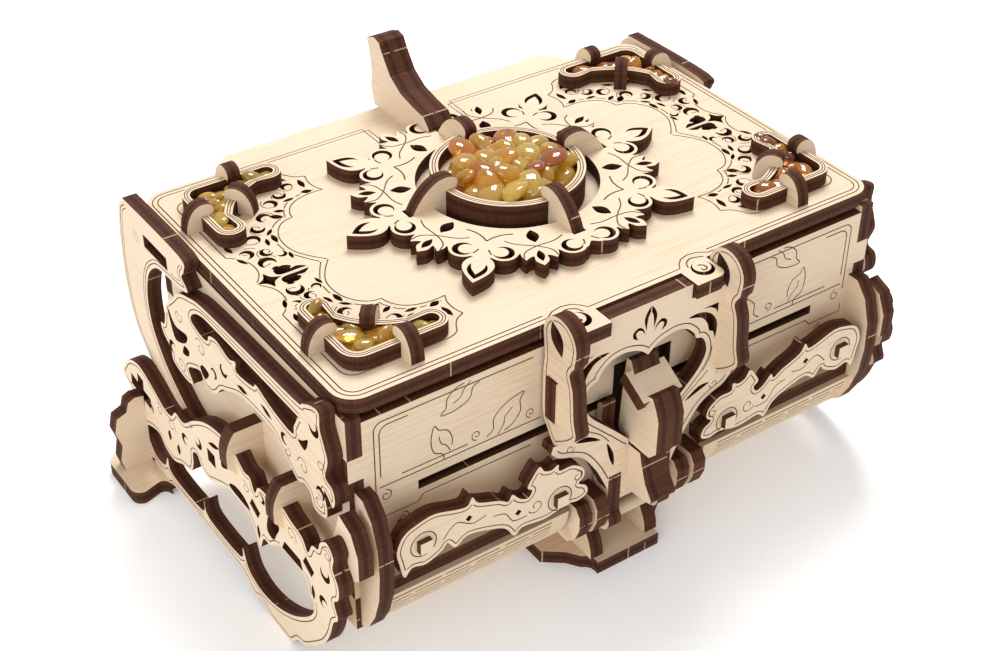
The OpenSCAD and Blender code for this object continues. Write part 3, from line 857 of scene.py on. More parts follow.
def solid_object(name: str, points: np.ndarray, groups: Sequence[np.ndarray],
                 soft: bool = False) -> bpy.types.Object:
    """Makes a mesh object at the origin from arrays.

    Args:
        name: Name of the object.
        points: Its points in metres.
        groups: Arrays of faces, one for each number of corners.
        soft: Whether the faces are shaded smooth.

    Returns:
        The object, linked to the scene.
    """
    used, back = np.unique(np.concatenate([g.ravel() for g in groups]), return_inverse=True)
    points = points[used]
    starts, start, taken = [], 0, 0
    for group in groups:
        rows, corners = group.shape
        starts.append(start + np.arange(rows) * corners)
        start += rows * corners
        taken += rows
    mesh = bpy.data.meshes.new(name)
    mesh.vertices.add(len(points))
    mesh.vertices.foreach_set("co", points.astype(np.float32).ravel())
    mesh.loops.add(len(back))
    mesh.loops.foreach_set("vertex_index", back.astype(np.int32).ravel())
    mesh.polygons.add(taken)
    mesh.polygons.foreach_set("loop_start", np.concatenate(starts).astype(np.int32))
    mesh.polygons.foreach_set("use_smooth", np.full(taken, soft))
    mesh.update(calc_edges=True)
    mesh.validate()
    made = bpy.data.objects.new(name, mesh)
    bpy.context.scene.collection.objects.link(made)
    return made


# ---------------------------------------------------------------- lid


@dataclass
class Lid:
    """The pierced lid plate with its engraved borders."""

    half: float = 79.7
    deep: float = 51.0
    corner: float = 6.0
    tongue: float = 7.0
    tongue_half: tuple = (58, 52)
    tab: tuple = (13.0, 22.5, 8.3)
    tab_corner: float = 2.6
    front_step: float = 1.9
    eye: tuple = (18.7, -54.3)
    inset: tuple = (1.3, 2.6)
    horn_clear: float = 12.6

    def outline(self) -> Loop:
        """Rounded rectangle with two scroll tabs in front and a tongue behind.

        Returns:
            The lid's outline.
        """
        x0, x1, reach = self.tab
        root, tip = self.tongue_half
        front, back, c, r = -self.deep, self.deep, self.corner, self.tab_corner
        half = np.vstack([
            [[x0, front - self.front_step]], [[x0, front - reach]],
            arc((x1 - r, front - reach + r), r, 270, 360, 6), [[x1, front]],
            arc((self.half - c, front + c), c, 270, 360, 8),
            arc((self.half - c, back - c), c, 0, 90, 8),
            [[root, back], [tip, back + self.tongue]]])
        return whole(half)

    def lace(self) -> list[Loop]:
        """Openings of one quarter of the pierced bands, at the right and in front.

        Returns:
            The hooks, the petals and half of the middle fan.
        """
        hooks = [
            (66.8, -6.9, 2.3, 100), (64.9, -10.9, 1.7, 200), (69.3, -12.6, 1.9, 20),
            (61.9, -8.3, 1.3, 300), (65.0, -17.6, 2.0, 60), (61.7, -21.2, 1.9, 230),
            (68.4, -19.4, 1.8, 150), (58.0, -25.0, 2.0, 120), (53.4, -29.8, 1.9, 30),
            (49.6, -32.2, 1.8, 250), (60.9, -29.2, 1.8, 60), (45.9, -35.0, 1.7, 110),
        ]
        petals = [
            ((60.6, -5.0), (60.1, -8.2), 0.55), ((60.4, -13.2), (60.0, -17.4), 0.75),
            ((62.9, -13.0), (62.0, -16.4), 0.6), ((58.6, -19.6), (61.2, -17.2), 0.55),
            ((70.9, -8.8), (72.4, -12.4), 0.6), ((71.8, -15.0), (72.4, -19.0), 0.7),
            ((53.5, -22.5), (56.6, -25.0), 1.0), ((51.7, -25.0), (54.6, -26.4), 0.7),
            ((46.8, -29.2), (50.4, -29.0), 0.6), ((41.2, -29.7), (44.4, -30.6), 0.9),
            ((42.2, -32.0), (41.8, -36.6), 0.8), ((44.4, -37.8), (47.4, -40.4), 0.8),
            ((55.4, -33.4), (58.8, -31.2), 0.7), ((63.4, -24.8), (65.6, -22.4), 0.7),
            ((67.4, -3.6), (65.2, -4.2), 0.5),
        ]
        fan = smooth([(66.9, -0.7), (67.2, -3.2), (64.4, -3.9), (62.7, -2.7), (63.3, -1.7), (61.4, -1.9),
                      (59.6, -0.5), (62.0, -0.5)], 4)
        loops = [crescent((x, y), r, spin) for x, y, r, spin in hooks]
        loops += [lens(a, b, w) for a, b, w in petals]
        return loops + [fan]

    def star(self) -> Loop:
        """The four-pointed opening in the middle of a band, its sides curving inwards."""
        corner = smooth([(3.3, 0), (1.1, 1.1), (0, 3.3)], 5, False)[:-1]
        return np.vstack([place(corner, (70.0, 0), 90 * k) for k in range(4)])

    def band_lines(self) -> list[Line]:
        """Engraved border of one quarter of a band: a double line inside and a single one outside.

        Returns:
            The lines of the border.
        """
        inner = [
            smooth([(54.0, -0.2), (56.6, -3.4), (58.8, -7.2), (59.5, -11), (59.0, -15.2), (57.2, -18.6),
                    (54.8, -20.7), (51.8, -21.4)], 5, False),
            smooth([(51.8, -21.4), (51.4, -23.4), (49.6, -26.2), (46.6, -28.0), (42.8, -28.8),
                    (38.9, -28.7)], 5, False),
            smooth([(38.9, -28.7), (39.9, -31), (40.1, -34), (39.4, -37.0)], 5, False),
            smooth([(39.4, -37.0), (41.8, -38.2), (43.4, -40.2), (44.6, -42.2), (46.8, -43.2)], 5, False),
        ]
        second = [
            smooth([(56.0, -0.2), (58.0, -3.2), (60.0, -7.0), (60.8, -11), (60.3, -15.6), (58.3, -19.7),
                    (55.6, -21.9), (53.2, -22.5)], 5, False),
            smooth([(53.2, -22.5), (52.6, -24.2), (50.6, -27.2), (47.2, -29.2), (43.2, -30.0),
                    (40.8, -30.0)], 5, False),
        ]
        outer = [
            np.vstack([[(46.8, -43.2)], arc((70.6, -39.6), 3.6, 270, 360, 6), [(74.2, -14.2)]]),
            smooth([(74.2, -14.2), (72.0, -12.2), (70.7, -9.8), (70.2, -6.8), (70.9, -3.4), (73.2, -0.2)],
                   5, False),
        ]
        return [Line(points) for points in inner + second + outer]

    def lace_lines(self) -> list[Line]:
        """Fine curls engraved between the openings of one quarter of a band."""
        curls = [
            ((66.8, -6.9), 3.3, 0.8, 200, 1), ((64.9, -10.9), 2.6, 0.7, 20, -1),
            ((65.0, -17.6), 2.9, 0.8, 320, 1), ((61.7, -21.2), 2.8, 0.7, 80, -1),
            ((58.0, -25.0), 2.9, 0.8, 180, 1), ((53.4, -29.8), 2.8, 0.7, 300, 1),
            ((49.6, -32.2), 2.7, 0.7, 60, -1), ((68.9, -12.9), 2.8, 0.6, 200, 1),
            ((45.9, -35.0), 2.6, 0.7, 0, 1),
        ]
        return [Line(spiral(*curl), 0.26) for curl in curls]

    def border_lines(self) -> list[Line]:
        """Two lines along the lid's edge that turn inwards beside the horn and bulge round the tabs.

        Returns:
            Both lines on both sides.
        """
        made = []
        bulges = ([(0, -51.4), (13.9, -51.4), (15.0, -49.8), (16.6, -48.4), (19.2, -47.7), (22.0, -48.2),
                   (24.4, -49.7)],
                  [(24.8, -48.4)])
        for inset, bulge in zip(self.inset, bulges):
            x, y, c = self.half - inset, self.deep - inset, self.corner - inset
            half = np.vstack([
                bulge, arc((x - c, -y + c), c, 270, 360, 6), arc((x - c, y - c), c, 0, 90, 6),
                [(self.horn_clear + 3 - inset, y), (self.horn_clear + 3 - inset, 38.0)]])
            made += [Line(half), Line(flip_x(half))]
        return made

    def tab_lines(self) -> list[Line]:
        """The curl on the right-hand scroll tab."""
        edge = smooth([(15.9, -52.2), (16.8, -50.4), (19.0, -49.4), (22.2, -50.4)], 5, False)
        return [Line(spiral(self.eye, 1.6, 0.8, 100, -1), 0.5), Line(edge, 0.4)]

    def plate(self, datum: Datum) -> Plate:
        """The whole lid plate.

        Args:
            datum: The casket's places.

        Returns:
            The plate.
        """
        quarter = self.lace()
        right = quarter + [flip_y(loop) for loop in quarter] + [self.star()]
        marks = self.band_lines() + self.lace_lines()
        marks += [line.moved(flip_y(line.points)) for line in marks] + self.tab_lines()
        marks += [line.moved(flip_x(line.points)) for line in marks]
        right.append(crescent(self.eye, 3.0, 70, 0.78, 0.27))
        return Plate("carved_lid", "lid", Lay.LEVEL, datum.lid_top - datum.ply, [self.outline()],
                     both(right), marks + self.border_lines(), stands_for=("lid_plate",))


@dataclass
class Rosette:
    """The eight-armed pierced rosette, with six pointed leaves and two arms that end in volutes."""

    middle: float = 1.0
    arms: int = 8
    opening: float = 23.8
    leafless: tuple = (2, 6)
    slot_half: float = 1.85
    horn_slot: tuple = (-4.05, 4.05, 32.0, 41.0)

    def _half_arm(self, leaf: bool) -> np.ndarray:
        """One side of an arm that points along x, from its tip to the leaf beside it.

        Args:
            leaf: Whether the arm ends in a pointed leaf, or else in a notch.

        Returns:
            The points of that side.
        """
        tip = smooth([(47.9, 0.0), (47.9, 0.0), (45.8, 1.7), (43.2, 3.3), (40.6, 3.9), (38.4, 3.2),
                      (37.0, 1.9)], 4, False)
        notch = smooth([(35.2, 0.0), (35.2, 0.0), (35.9, 0.9), (36.6, 1.6)], 3, False)
        volute = arc((34.0, 4.9), 3.7, -38, 84, 9)
        leaflet = smooth([(33.7, 9.0), (33.7, 9.0), (35.0, 9.5), (36.4, 10.9), (36.4, 10.9), (35.0, 11.6),
                          (34.2, 12.4), (34.2, 12.4)], 3, False)
        spear = smooth([(34.9, 12.7), (36.4, 13.4), (37.5, 15.54)], 4, False)
        return np.vstack([tip if leaf else notch, volute, leaflet, spear])

    def outline(self) -> Loop:
        """All eight arms in a ring.

        Returns:
            The rosette's outline.
        """
        step = 360 / self.arms
        rows = []
        for k in range(self.arms):
            half = self._half_arm(k not in self.leafless)
            rows.append(place(np.vstack([flip_y(half)[:0:-1], half[:-1]]), (0, self.middle), step * k))
        return np.vstack(rows)

    @staticmethod
    def _leaf_hole() -> Loop:
        """The opening that follows a leaf's point: a wide half-sine oval less a narrower one.

        Returns:
            The opening of an arm that points along x.
        """
        far, near = np.linspace(40.1, 46.4, 9), np.linspace(40.1, 44.4, 8)
        outer = np.column_stack([far, 2.5 * np.sin(np.pi * (far - 37.6) / 8.8)])
        inner = np.column_stack([near, 1.75 * np.sin(np.pi * (near - 36.6) / 7.8)])
        return np.vstack([flip_y(outer), outer[-2::-1], inner, flip_y(inner)[-2::-1]])

    def holes(self) -> list[Loop]:
        """Middle opening, leaf hearts, commas in the volutes, petals and the slots of the claws.

        Returns:
            All the openings.
        """
        step = 360 / self.arms
        at = (0, self.middle)
        found = [disc(at, self.opening, 72)]
        hook = crescent((34.2, 5.0), 2.7, 260, 0.74, 0.3)
        for k in range(self.arms):
            spin = step * k
            if k not in self.leafless:
                found.append(place(self._leaf_hole(), at, spin))
            for side in (1, -1):
                found.append(place(hook * (1, side), at, spin))
            found.append(place(lens((24.9, 0), (30.6, 0), 1.6), at, spin + step / 2))
            found.append(place(lens((34.0, 0), (38.8, 0), 1.0), at, spin + step / 2))
        for k in range(4):
            slot = rect(self.opening - 0.6, 30.9, -self.slot_half, self.slot_half)
            found.append(place(slot, at, 90 * k))
        found.append(rect(*self.horn_slot))
        return found

    def lines(self) -> list[Line]:
        """Curved Vs on the arms, and arcs that cross beside each petal.

        Returns:
            The engraved lines.
        """
        step = 360 / self.arms
        at, made = (0, self.middle), []
        for k in range(self.arms):
            spin = step * k
            for side in (1, -1):
                vee = smooth([(29.9, 0.0), (28.2, 1.3), (26.6, 3.3), (25.6, 5.8)], 4, False) * (1, side)
                tail = smooth([(36.6, 5.0), (36.3, 3.4), (35.2, 2.0), (33.6, 1.2)], 4, False) * (1, side)
                cross = smooth([(28.6, -7.2), (30.6, -4.6), (32.2, 0.0), (34.4, 3.4), (37.2, 4.2)], 4,
                               False) * (1, side)
                if k % 2:
                    made.append(Line(place(vee, at, spin), 0.45))
                made.append(Line(place(tail, at, spin), 0.45))
                made.append(Line(place(cross, at, spin + step / 2), 0.38))
        return made

    def plate(self, datum: Datum) -> Plate:
        """The whole rosette."""
        return Plate("carved_rosette", "lid", Lay.LEVEL, datum.lid_top, [self.outline()], self.holes(),
                     self.lines(), stands_for=("rosette",))


@dataclass
class Cups:
    """The round cup and the four corner cups, with their claws and heaps of amber chips."""

    middle: float = 1.0
    ring: float = 20.0
    rim: float = 2.2
    corner_at: tuple = (-73.2, -43.0)
    claw_ply: float = 3.6
    seed: int = 11
    lobe: float = 0.085

    def ring_plate(self, datum: Datum) -> Plate:
        """The round cup's rim with two fine lines.

        Args:
            datum: The casket's places.

        Returns:
            The rim.
        """
        at = (0, self.middle)
        lines = [Line(disc(at, self.ring - inset, 72), 0.3, True) for inset in (0.75, 1.45)]
        return Plate("round_rim", "lid", Lay.LEVEL, datum.lid_top + datum.ply, [disc(at, self.ring, 96)],
                     [disc(at, self.ring - self.rim, 96)], lines, stands_for=("round_cup_ring",))

    def base_plate(self, datum: Datum) -> Plate:
        """The disc below the rim."""
        return Plate("round_base", "lid", Lay.LEVEL, datum.lid_top,
                     [disc((0, self.middle), self.ring, 96)], stands_for=("round_cup_base",))

    def claw(self, name: str, spin: float) -> Plate:
        """One claw of the round cup: it stands in a slot, rises over the rim and grips it.

        Args:
            name: Name of the piece.
            spin: Direction from the cup's middle, in degrees.

        Returns:
            The claw.
        """
        nose = smooth([(17.0, 8.2), (16.6, 9.6), (17.2, 10.9), (19.2, 11.7), (22.2, 11.5), (25.4, 9.7),
                       (28.2, 6.7), (30.2, 3.1), (30.9, 0.02)], 5, False)
        outline = np.vstack([[(20.05, 0.02), (20.05, 8.05)], nose])
        return Plate(name, "lid", Lay.UPRIGHT, -self.claw_ply / 2, [outline], [], [], self.claw_ply,
                     at=(0.0, self.middle), spin=spin, stands_for=("round_cup_prongs",))

    def small_claw(self, name: str, at: tuple, spin: float, stands_for: tuple) -> Plate:
        """One claw of a corner cup, drawn from the rim's outer face inwards.

        Args:
            name: Name of the piece.
            at: Where it stands on the lid, in mm.
            spin: Direction in which it leans, in degrees.
            stands_for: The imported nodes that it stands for.

        Returns:
            The claw.
        """
        nose = smooth([(3.1, 4.05), (3.5, 5.3), (2.7, 6.8), (0.6, 7.35), (-1.6, 6.6), (-3.2, 4.6),
                       (-4.0, 2.2), (-4.2, 0.02)], 5, False)
        outline = np.vstack([[(0.0, 0.02), (0.0, 4.05)], nose])[::-1]
        return Plate(name, "lid", Lay.UPRIGHT, -self.claw_ply / 2, [outline], [], [], self.claw_ply,
                     at=at, spin=spin, stands_for=stands_for)

    def _corner_shape(self, inset: float) -> Loop:
        """The boomerang shape of a corner cup, at an even distance inside its outer edge."""
        bend = np.array([(19.5, 7.2), (14.5, 9.7), (9.7, 13.7), (6.9, 17.9)]) - inset * 0.75
        return np.vstack([
            arc((5, 5), 5 - inset, 180, 270, 6), arc((23.8, 3.9), 3.9 - inset, 270, 450, 12),
            smooth(bend, 4, False), arc((3.9, 22.3), 3.9 - inset, 0, 180, 12)]) + self.corner_at

    def corner_plate(self, datum: Datum, name: str, flip: tuple, node: str) -> Plate:
        """One corner cup's wall with two fine lines on its rim.

        Args:
            datum: The casket's places.
            name: Name of the piece.
            flip: 1 or -1 along x and y, to mirror the front left cup to its corner.
            node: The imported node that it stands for.

        Returns:
            The wall.
        """
        wall = self.rim - 0.2
        outline, hole = self._corner_shape(0), self._corner_shape(wall)
        lines = [Line(self._corner_shape(inset) * flip, 0.28, True) for inset in (0.65, 1.3)]
        return Plate(name, "lid", Lay.LEVEL, datum.lid_top, [outline * flip], [hole * flip], lines,
                     stands_for=(node,))

    def chips(self, name: str, centres: np.ndarray, sizes: np.ndarray, tints: np.ndarray, node: str,
              rng: np.random.Generator) -> bpy.types.Object:
        """A heap of amber chips as one piece.

        Each chip is a ball squeezed to its three half sizes, with its radius waved by three
        slow sine lobes, tumbled a little and laid at its place.

        Args:
            name: Name of the piece.
            centres: Middle of each chip in mm.
            sizes: Half sizes of each chip in mm.
            tints: Colour of each chip, 0 for lemon to 1 for cognac.
            node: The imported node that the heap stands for.
            rng: The seeded source of chance.

        Returns:
            The piece.
        """
        rings, spokes, count = 10, 16, len(centres)
        theta = np.linspace(0, np.pi, rings + 1)[1:-1, None]
        phi = np.linspace(0, 2 * np.pi, spokes, endpoint=False)[None]
        ball = np.stack([np.sin(theta) * np.cos(phi), np.sin(theta) * np.sin(phi),
                         np.cos(theta) + 0 * phi], 2)
        ball = np.vstack([ball.reshape(-1, 3), [(0, 0, 1), (0, 0, -1)]])
        waves = rng.normal(0, 1.5, (count, 3, 3))
        phase = rng.uniform(0, 2 * np.pi, (count, 3))
        lobes = 1 + self.lobe * np.sin(np.einsum("nkj,mj->nmk", waves, ball) + phase[:, None]).sum(2)
        body = ball[None] * lobes[..., None] * sizes[:, None]
        yaw = rng.uniform(0, 2 * np.pi, count)
        tip = rng.normal(0, 0.30, count)
        roll = rng.normal(0, 0.35, count)
        turns = np.array([
            Matrix.Rotation(a, 3, "Z") @ Matrix.Rotation(b, 3, "Y") @ Matrix.Rotation(c, 3, "X")
            for a, b, c in zip(yaw, tip, roll)])
        solid = np.einsum("nij,nmj->nmi", turns, body) + centres[:, None]
        per = len(ball)
        row, col = np.divmod(np.arange((rings - 2) * spokes), spokes)
        nxt = (col + 1) % spokes
        quad = np.column_stack([row * spokes + col, (row + 1) * spokes + col, (row + 1) * spokes + nxt,
                                row * spokes + nxt])
        ring = np.arange(spokes)
        last = (rings - 2) * spokes
        cap = np.column_stack([np.full(spokes, per - 2), ring, (ring + 1) % spokes])
        base = np.column_stack([np.full(spokes, per - 1), last + (ring + 1) % spokes, last + ring])
        shift = (np.arange(count) * per)[:, None, None]
        groups = [(g[None] + shift).reshape(-1, g.shape[1]) for g in (quad, cap, base)]
        made = solid_object(name, solid.reshape(-1, 3) * MM, groups, True)
        tint = made.data.attributes.new("tint", "FLOAT", "POINT")
        tint.data.foreach_set("value", np.repeat(tints, per).astype(np.float32))
        made.data.materials.append(bpy.data.materials.get("amber_stone") or Amber().material())
        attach(made, "lid")
        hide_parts(node)
        log.info("%s: %d chips", name, count)
        return made

    def _sizes(self, rng: np.random.Generator, count: int, big: float) -> np.ndarray:
        """Half sizes of chips: longer than wide, and flat."""
        long = rng.uniform(0.82, 1.15, count) * big
        return np.column_stack([long, long * rng.uniform(0.66, 0.88, count),
                                long * rng.uniform(0.40, 0.55, count)])

    def round_heap(self, datum: Datum) -> bpy.types.Object:
        """Three layers of chips that crown in the middle of the round cup.

        Each layer is a staggered grid within a circle, jogged by chance, and each chip sinks by
        the square of its distance from the middle.

        Args:
            datum: The casket's places.

        Returns:
            The heap.
        """
        rng = np.random.default_rng(self.seed)
        places, room = [], self.ring - self.rim
        layers = ((1.6, room - 3.2, 5.2), (3.6, room - 3.3, 5.4), (5.2, room - 4.2, 6.4))
        for height, reach, gap in layers:
            grid = np.arange(-4, 5) * gap
            x, y = np.meshgrid(grid, grid * 0.87)
            x = x + (np.arange(9) % 2)[:, None] * gap / 2
            spot = np.column_stack([x.ravel(), y.ravel()]) + rng.normal(0, 0.65, (81, 2))
            spot = spot[np.hypot(*spot.T) < reach]
            rise = height + rng.normal(0, 0.30, len(spot)) - 0.0030 * (spot**2).sum(1)
            places.append(np.column_stack([spot, rise]))
        centres = np.vstack(places) + (0, datum.lid_y + self.middle, datum.lid_top + datum.ply)
        tints = np.clip(rng.choice([0.06, 0.22, 0.4, 0.62, 0.8], len(centres),
                                   p=[0.30, 0.24, 0.18, 0.16, 0.12])
                        + rng.normal(0, 0.06, len(centres)), 0, 1)
        return self.chips("round_amber", centres, self._sizes(rng, len(centres), 4.3), tints,
                          "round_cup_amber", rng)

    def corner_heap(self, datum: Datum, name: str, flip: tuple, warm: float,
                    seed: int) -> bpy.types.Object:
        """Chips along the two legs of a corner cup.

        Args:
            datum: The casket's places.
            name: Name of the piece.
            flip: 1 or -1 along x and y, to mirror the front left cup to its corner.
            warm: How brown the chips are, from 0 to 1.
            seed: Seed of the heap's own chance.

        Returns:
            The heap.
        """
        rng = np.random.default_rng(seed)
        legs = [(24.0, 3.9), (20.6, 4.3), (17.0, 4.5), (13.4, 5.2), (10.0, 5.8), (6.0, 5.4), (9.6, 9.4),
                (5.6, 9.6), (4.9, 13.4), (4.2, 17.2), (4.0, 21.0), (3.9, 23.0), (12.0, 7.6), (7.4, 12.2),
                (15.4, 6.2)]
        spots = (np.array(legs) + rng.normal(0, 0.28, (len(legs), 2)) + self.corner_at) * flip
        height = datum.lid_top + 1.75 + rng.normal(0, 0.25, len(legs)) + (np.arange(len(legs)) % 2) * 0.9
        centres = np.column_stack([spots[:, 0], spots[:, 1] + datum.lid_y, height])
        tints = np.clip(rng.uniform(0, 0.45, len(legs)) + warm * rng.uniform(0.3, 1, len(legs)), 0, 1)
        sizes = self._sizes(rng, len(legs), 2.9)
        return self.chips(name, centres, sizes, tints, "corner_cup_amber", rng)

    def build(self, datum: Datum, finish: Plywood) -> None:
        """Makes every cup with its claws and its amber.

        Args:
            datum: The casket's places.
            finish: The plywood.
        """
        self.ring_plate(datum).build(datum, finish)
        self.base_plate(datum).build(datum, finish)
        for k in range(4):
            self.claw(f"round_claw_{k + 1}", 90.0 * k).build(datum, finish)
        self.round_heap(datum)
        corners = {"front_left": ((1, 1), 0.25, 3), "front_right": ((-1, 1), 0.8, 5),
                   "back_left": ((1, -1), 0.1, 7), "back_right": ((-1, -1), 0.75, 9)}
        spots = (((15.0, 0.0), 90.0), ((0.0, 13.0), 0.0), ((12.2, 11.7), 230.0))
        for corner, (flip, warm, seed) in corners.items():
            self.corner_plate(datum, f"{corner}_rim", flip, f"{corner}_cup").build(datum, finish)
            for k, (spot, spin) in enumerate(spots):
                at = (np.array(spot) + self.corner_at) * flip
                turned = math.degrees(math.atan2(math.sin(math.radians(spin)) * flip[1],
                                                 math.cos(math.radians(spin)) * flip[0]))
                self.small_claw(f"{corner}_claw_{k + 1}", tuple(at), turned,
                                ("corner_cup_prongs",)).build(datum, finish)
            self.corner_heap(datum, f"{corner}_amber", flip, warm, seed)


# ---------------------------------------------------------------- sides


@dataclass
class Sides:
    """The ornate plates on the casket's two sides, drawn for the left one."""

    scroll: tuple = (
        (32, -20.5), (27, -15.4), (23, -11.6), (17, -9.4), (10, -7.8), (-8, -6.9), (-36, -6), (-40, -4.6),
        (-44, -2.6), (-47.4, -2.4), (-47.4, -7), (-49, -11), (-50, -14.6), (-48.4, -20), (-51.4, -21.4),
        (-52.2, -24.6), (-51, -27.2), (-48.8, -25.2), (-47.2, -25), (-48.2, -30), (-47.2, -33.2),
        (-42, -34), (-40.6, -30.4), (-38, -29.4), (-35, -30.8), (-32, -29.2), (-27.2, -25.4),
        (-24.4, -23.2), (-17.2, -22.8), (-8.2, -23.6), (-1, -26.8), (3, -28.8), (6, -32), (9, -33.8),
        (13, -33.6), (14.4, -30.8), (17.6, -31.6), (22.4, -34.6), (20.4, -38.4), (25, -39.6), (31.6, -38),
        (32.2, -34.4), (35.8, -31.8), (36.8, -28.6), (34.4, -27.6))
    scroll_slot: tuple = (
        (16.6, -16.4), (15.6, -13.6), (10.8, -11.2), (2.8, -10.6), (-35, -10), (-37, -10.6), (-35, -14.4),
        (-33.8, -17.4), (-25, -16.6), (-17.2, -14.4), (-15.2, -16), (-7, -17.2), (-6.8, -14.2),
        (-3.2, -15.4), (2.8, -13.8), (7, -15), (8, -17), (11, -17.8))
    bracket: tuple = (
        (55.4, -3.4), (51.8, 0.6), (49, 1.4), (19.6, 1.4), (17.6, -2), (19.4, -4.6), (17.4, -6.4),
        (17, -8), (22, -9.2), (30, -9.8), (35.4, -11), (40.8, -16), (43.6, -24), (43.4, -32), (40.8, -38),
        (36, -44), (28, -50), (22, -53.2), (20, -56.6), (34, -59.6), (42, -53.6), (48, -47.4),
        (53.2, -42), (56, -36), (57.6, -27), (57.4, -16))
    frame: tuple = (
        (57, -53), (53.4, -49.6), (47, -47.6), (40, -49.6), (33, -52.8), (28.4, -52.6), (25.4, -49.4),
        (20.6, -49.6), (14, -44.4), (7, -40.2), (0, -38), (-6, -37.6), (-9.8, -38.6), (-14, -41.2),
        (-17, -41), (-19, -44.4), (-21.4, -41), (-27, -40), (-33.6, -38.2), (-37, -39.4), (-42.4, -40.6),
        (-44.8, -43.6), (-47.2, -39.6), (-50, -38.6), (-51.4, -35.4), (-54.6, -33.2), (-57.2, -35.8),
        (-56.4, -39.8), (-58.6, -43.6), (-58.2, -48), (-56, -50.6), (-57.4, -55), (-55, -58),
        (-53, -63.6), (-50, -69), (-45.4, -74), (-39.4, -79.4), (-35.6, -80.6), (-31, -84.9),
        (-21, -84.9), (-17, -82.6), (-12.6, -83.8), (-8, -80.8), (0, -80.2), (31, -80.2), (36, -83),
        (37, -84.9), (40, -84.9), (42, -80.6), (47, -79.6), (50.4, -82), (51, -84.9), (59, -84.9),
        (58.6, -78), (55.6, -72), (57.4, -66), (54.6, -61), (59.6, -57.6))
    frame_window: tuple = (
        (47, -74), (48.8, -70.6), (46, -67.6), (39, -65.6), (35.6, -68.4), (30.6, -69.4), (25, -66.8),
        (19.6, -65.2), (17.4, -61), (16.8, -57), (14, -55.6), (12, -58.6), (8, -59.6), (3, -57.4),
        (-4, -54.6), (-13, -54.4), (-16.6, -57.4), (-19, -62.4), (-21.4, -57.6), (-25, -57),
        (-30.6, -53.2), (-42, -53), (-43.8, -57), (-46, -59.6), (-44.2, -64.6), (-38, -70.6),
        (-31.4, -75), (-24, -78.2), (-17, -79.2), (-12, -77.8), (-9.8, -75.6), (-8, -71.2), (-6, -75.8),
        (11.4, -76), (13.6, -71.2), (15.6, -76.2), (33.4, -76.6), (35.4, -72), (38, -76.4), (43.6, -77.2))

    def scroll_plate(self, datum: Datum) -> Plate:
        """The upper scroll.

        Args:
            datum: The casket's places.

        Returns:
            The plate of the left side.
        """
        outline = smooth(self.scroll, 4)
        holes = [smooth(self.scroll_slot, 4)] + [smooth(points, 5) for points in (
            [(-36.4, -17.4), (-38.6, -16.2), (-41.4, -14.2), (-39.6, -18.4)],
            [(27.6, -29), (22, -26.4), (20.8, -23.2), (27.4, -24), (31.2, -20), (29.6, -27)],
            [(24.6, -31), (21.6, -30.4), (20.4, -28.2), (23, -27.8)],
            [(9.6, -28.4), (12.8, -27.6), (14.6, -29.4), (12.4, -31.6)])]
        holes += [crescent((-44.6, -8.8), 2.2, 60), crescent((-45.6, -26.8), 1.9, 300),
                  crescent((-29.6, -21.8), 1.7, 180), crescent((0.6, -21.6), 1.9, 120),
                  crescent((6.6, -26.2), 1.6, 320), crescent((31.0, -33.0), 2.0, 200),
                  lens((-24, -20.2), (-18.6, -18.8), 0.8), lens((-12, -20.6), (-6.4, -21.2), 0.8)]
        lines = contour([outline] + holes[:1], 1.1) + self._curls([
            (-44.4, -30.0, 2.3, 90), (-38.0, -24.4, 2.6, 0), (-46.6, -18.4, 1.9, 200),
            (13.0, -22.4, 2.8, 30), (24.8, -19.4, 2.2, 150), (26.4, -35.6, 2.2, 260),
            (-30.6, -25.0, 1.8, 60)])
        return Plate("left_carved_scroll", "box", Lay.ENDWAYS, -datum.half_wall - datum.ply, [outline],
                     holes, lines, high_side=False, stands_for=("left_side_scroll",))

    @staticmethod
    def _curls(spots: Sequence[tuple]) -> list[Line]:
        """Fine engraved curls, each given as its middle, its radius and its spin."""
        return [Line(spiral((y, z), r, 1.1, spin, 1 if spin < 180 else -1), 0.26)
                for y, z, r, spin in spots]

    def bracket_plate(self, datum: Datum) -> Plate:
        """The C-shaped rear bracket with its hinge bore.

        Args:
            datum: The casket's places.

        Returns:
            The plate of the left side.
        """
        outline = smooth(self.bracket, 4)
        pin_low, pin_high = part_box("hinge_pins")
        pin = ((pin_low.y + pin_high.y) / 2 / MM - datum.lid_y,
               (pin_low.z + pin_high.z) / 2 / MM - datum.lid_top)
        holes = [rect(27.6, 41, -7.6, -3.8), disc(pin, (pin_high.z - pin_low.z) / 2 / MM, 32)]
        return Plate("left_carved_bracket", "box", Lay.ENDWAYS, -datum.half_wall - datum.ply, [outline],
                     holes, contour([outline], 1.2) + contour([outline], 2.2, 0.24), high_side=False,
                     stands_for=("left_rear_bracket",))

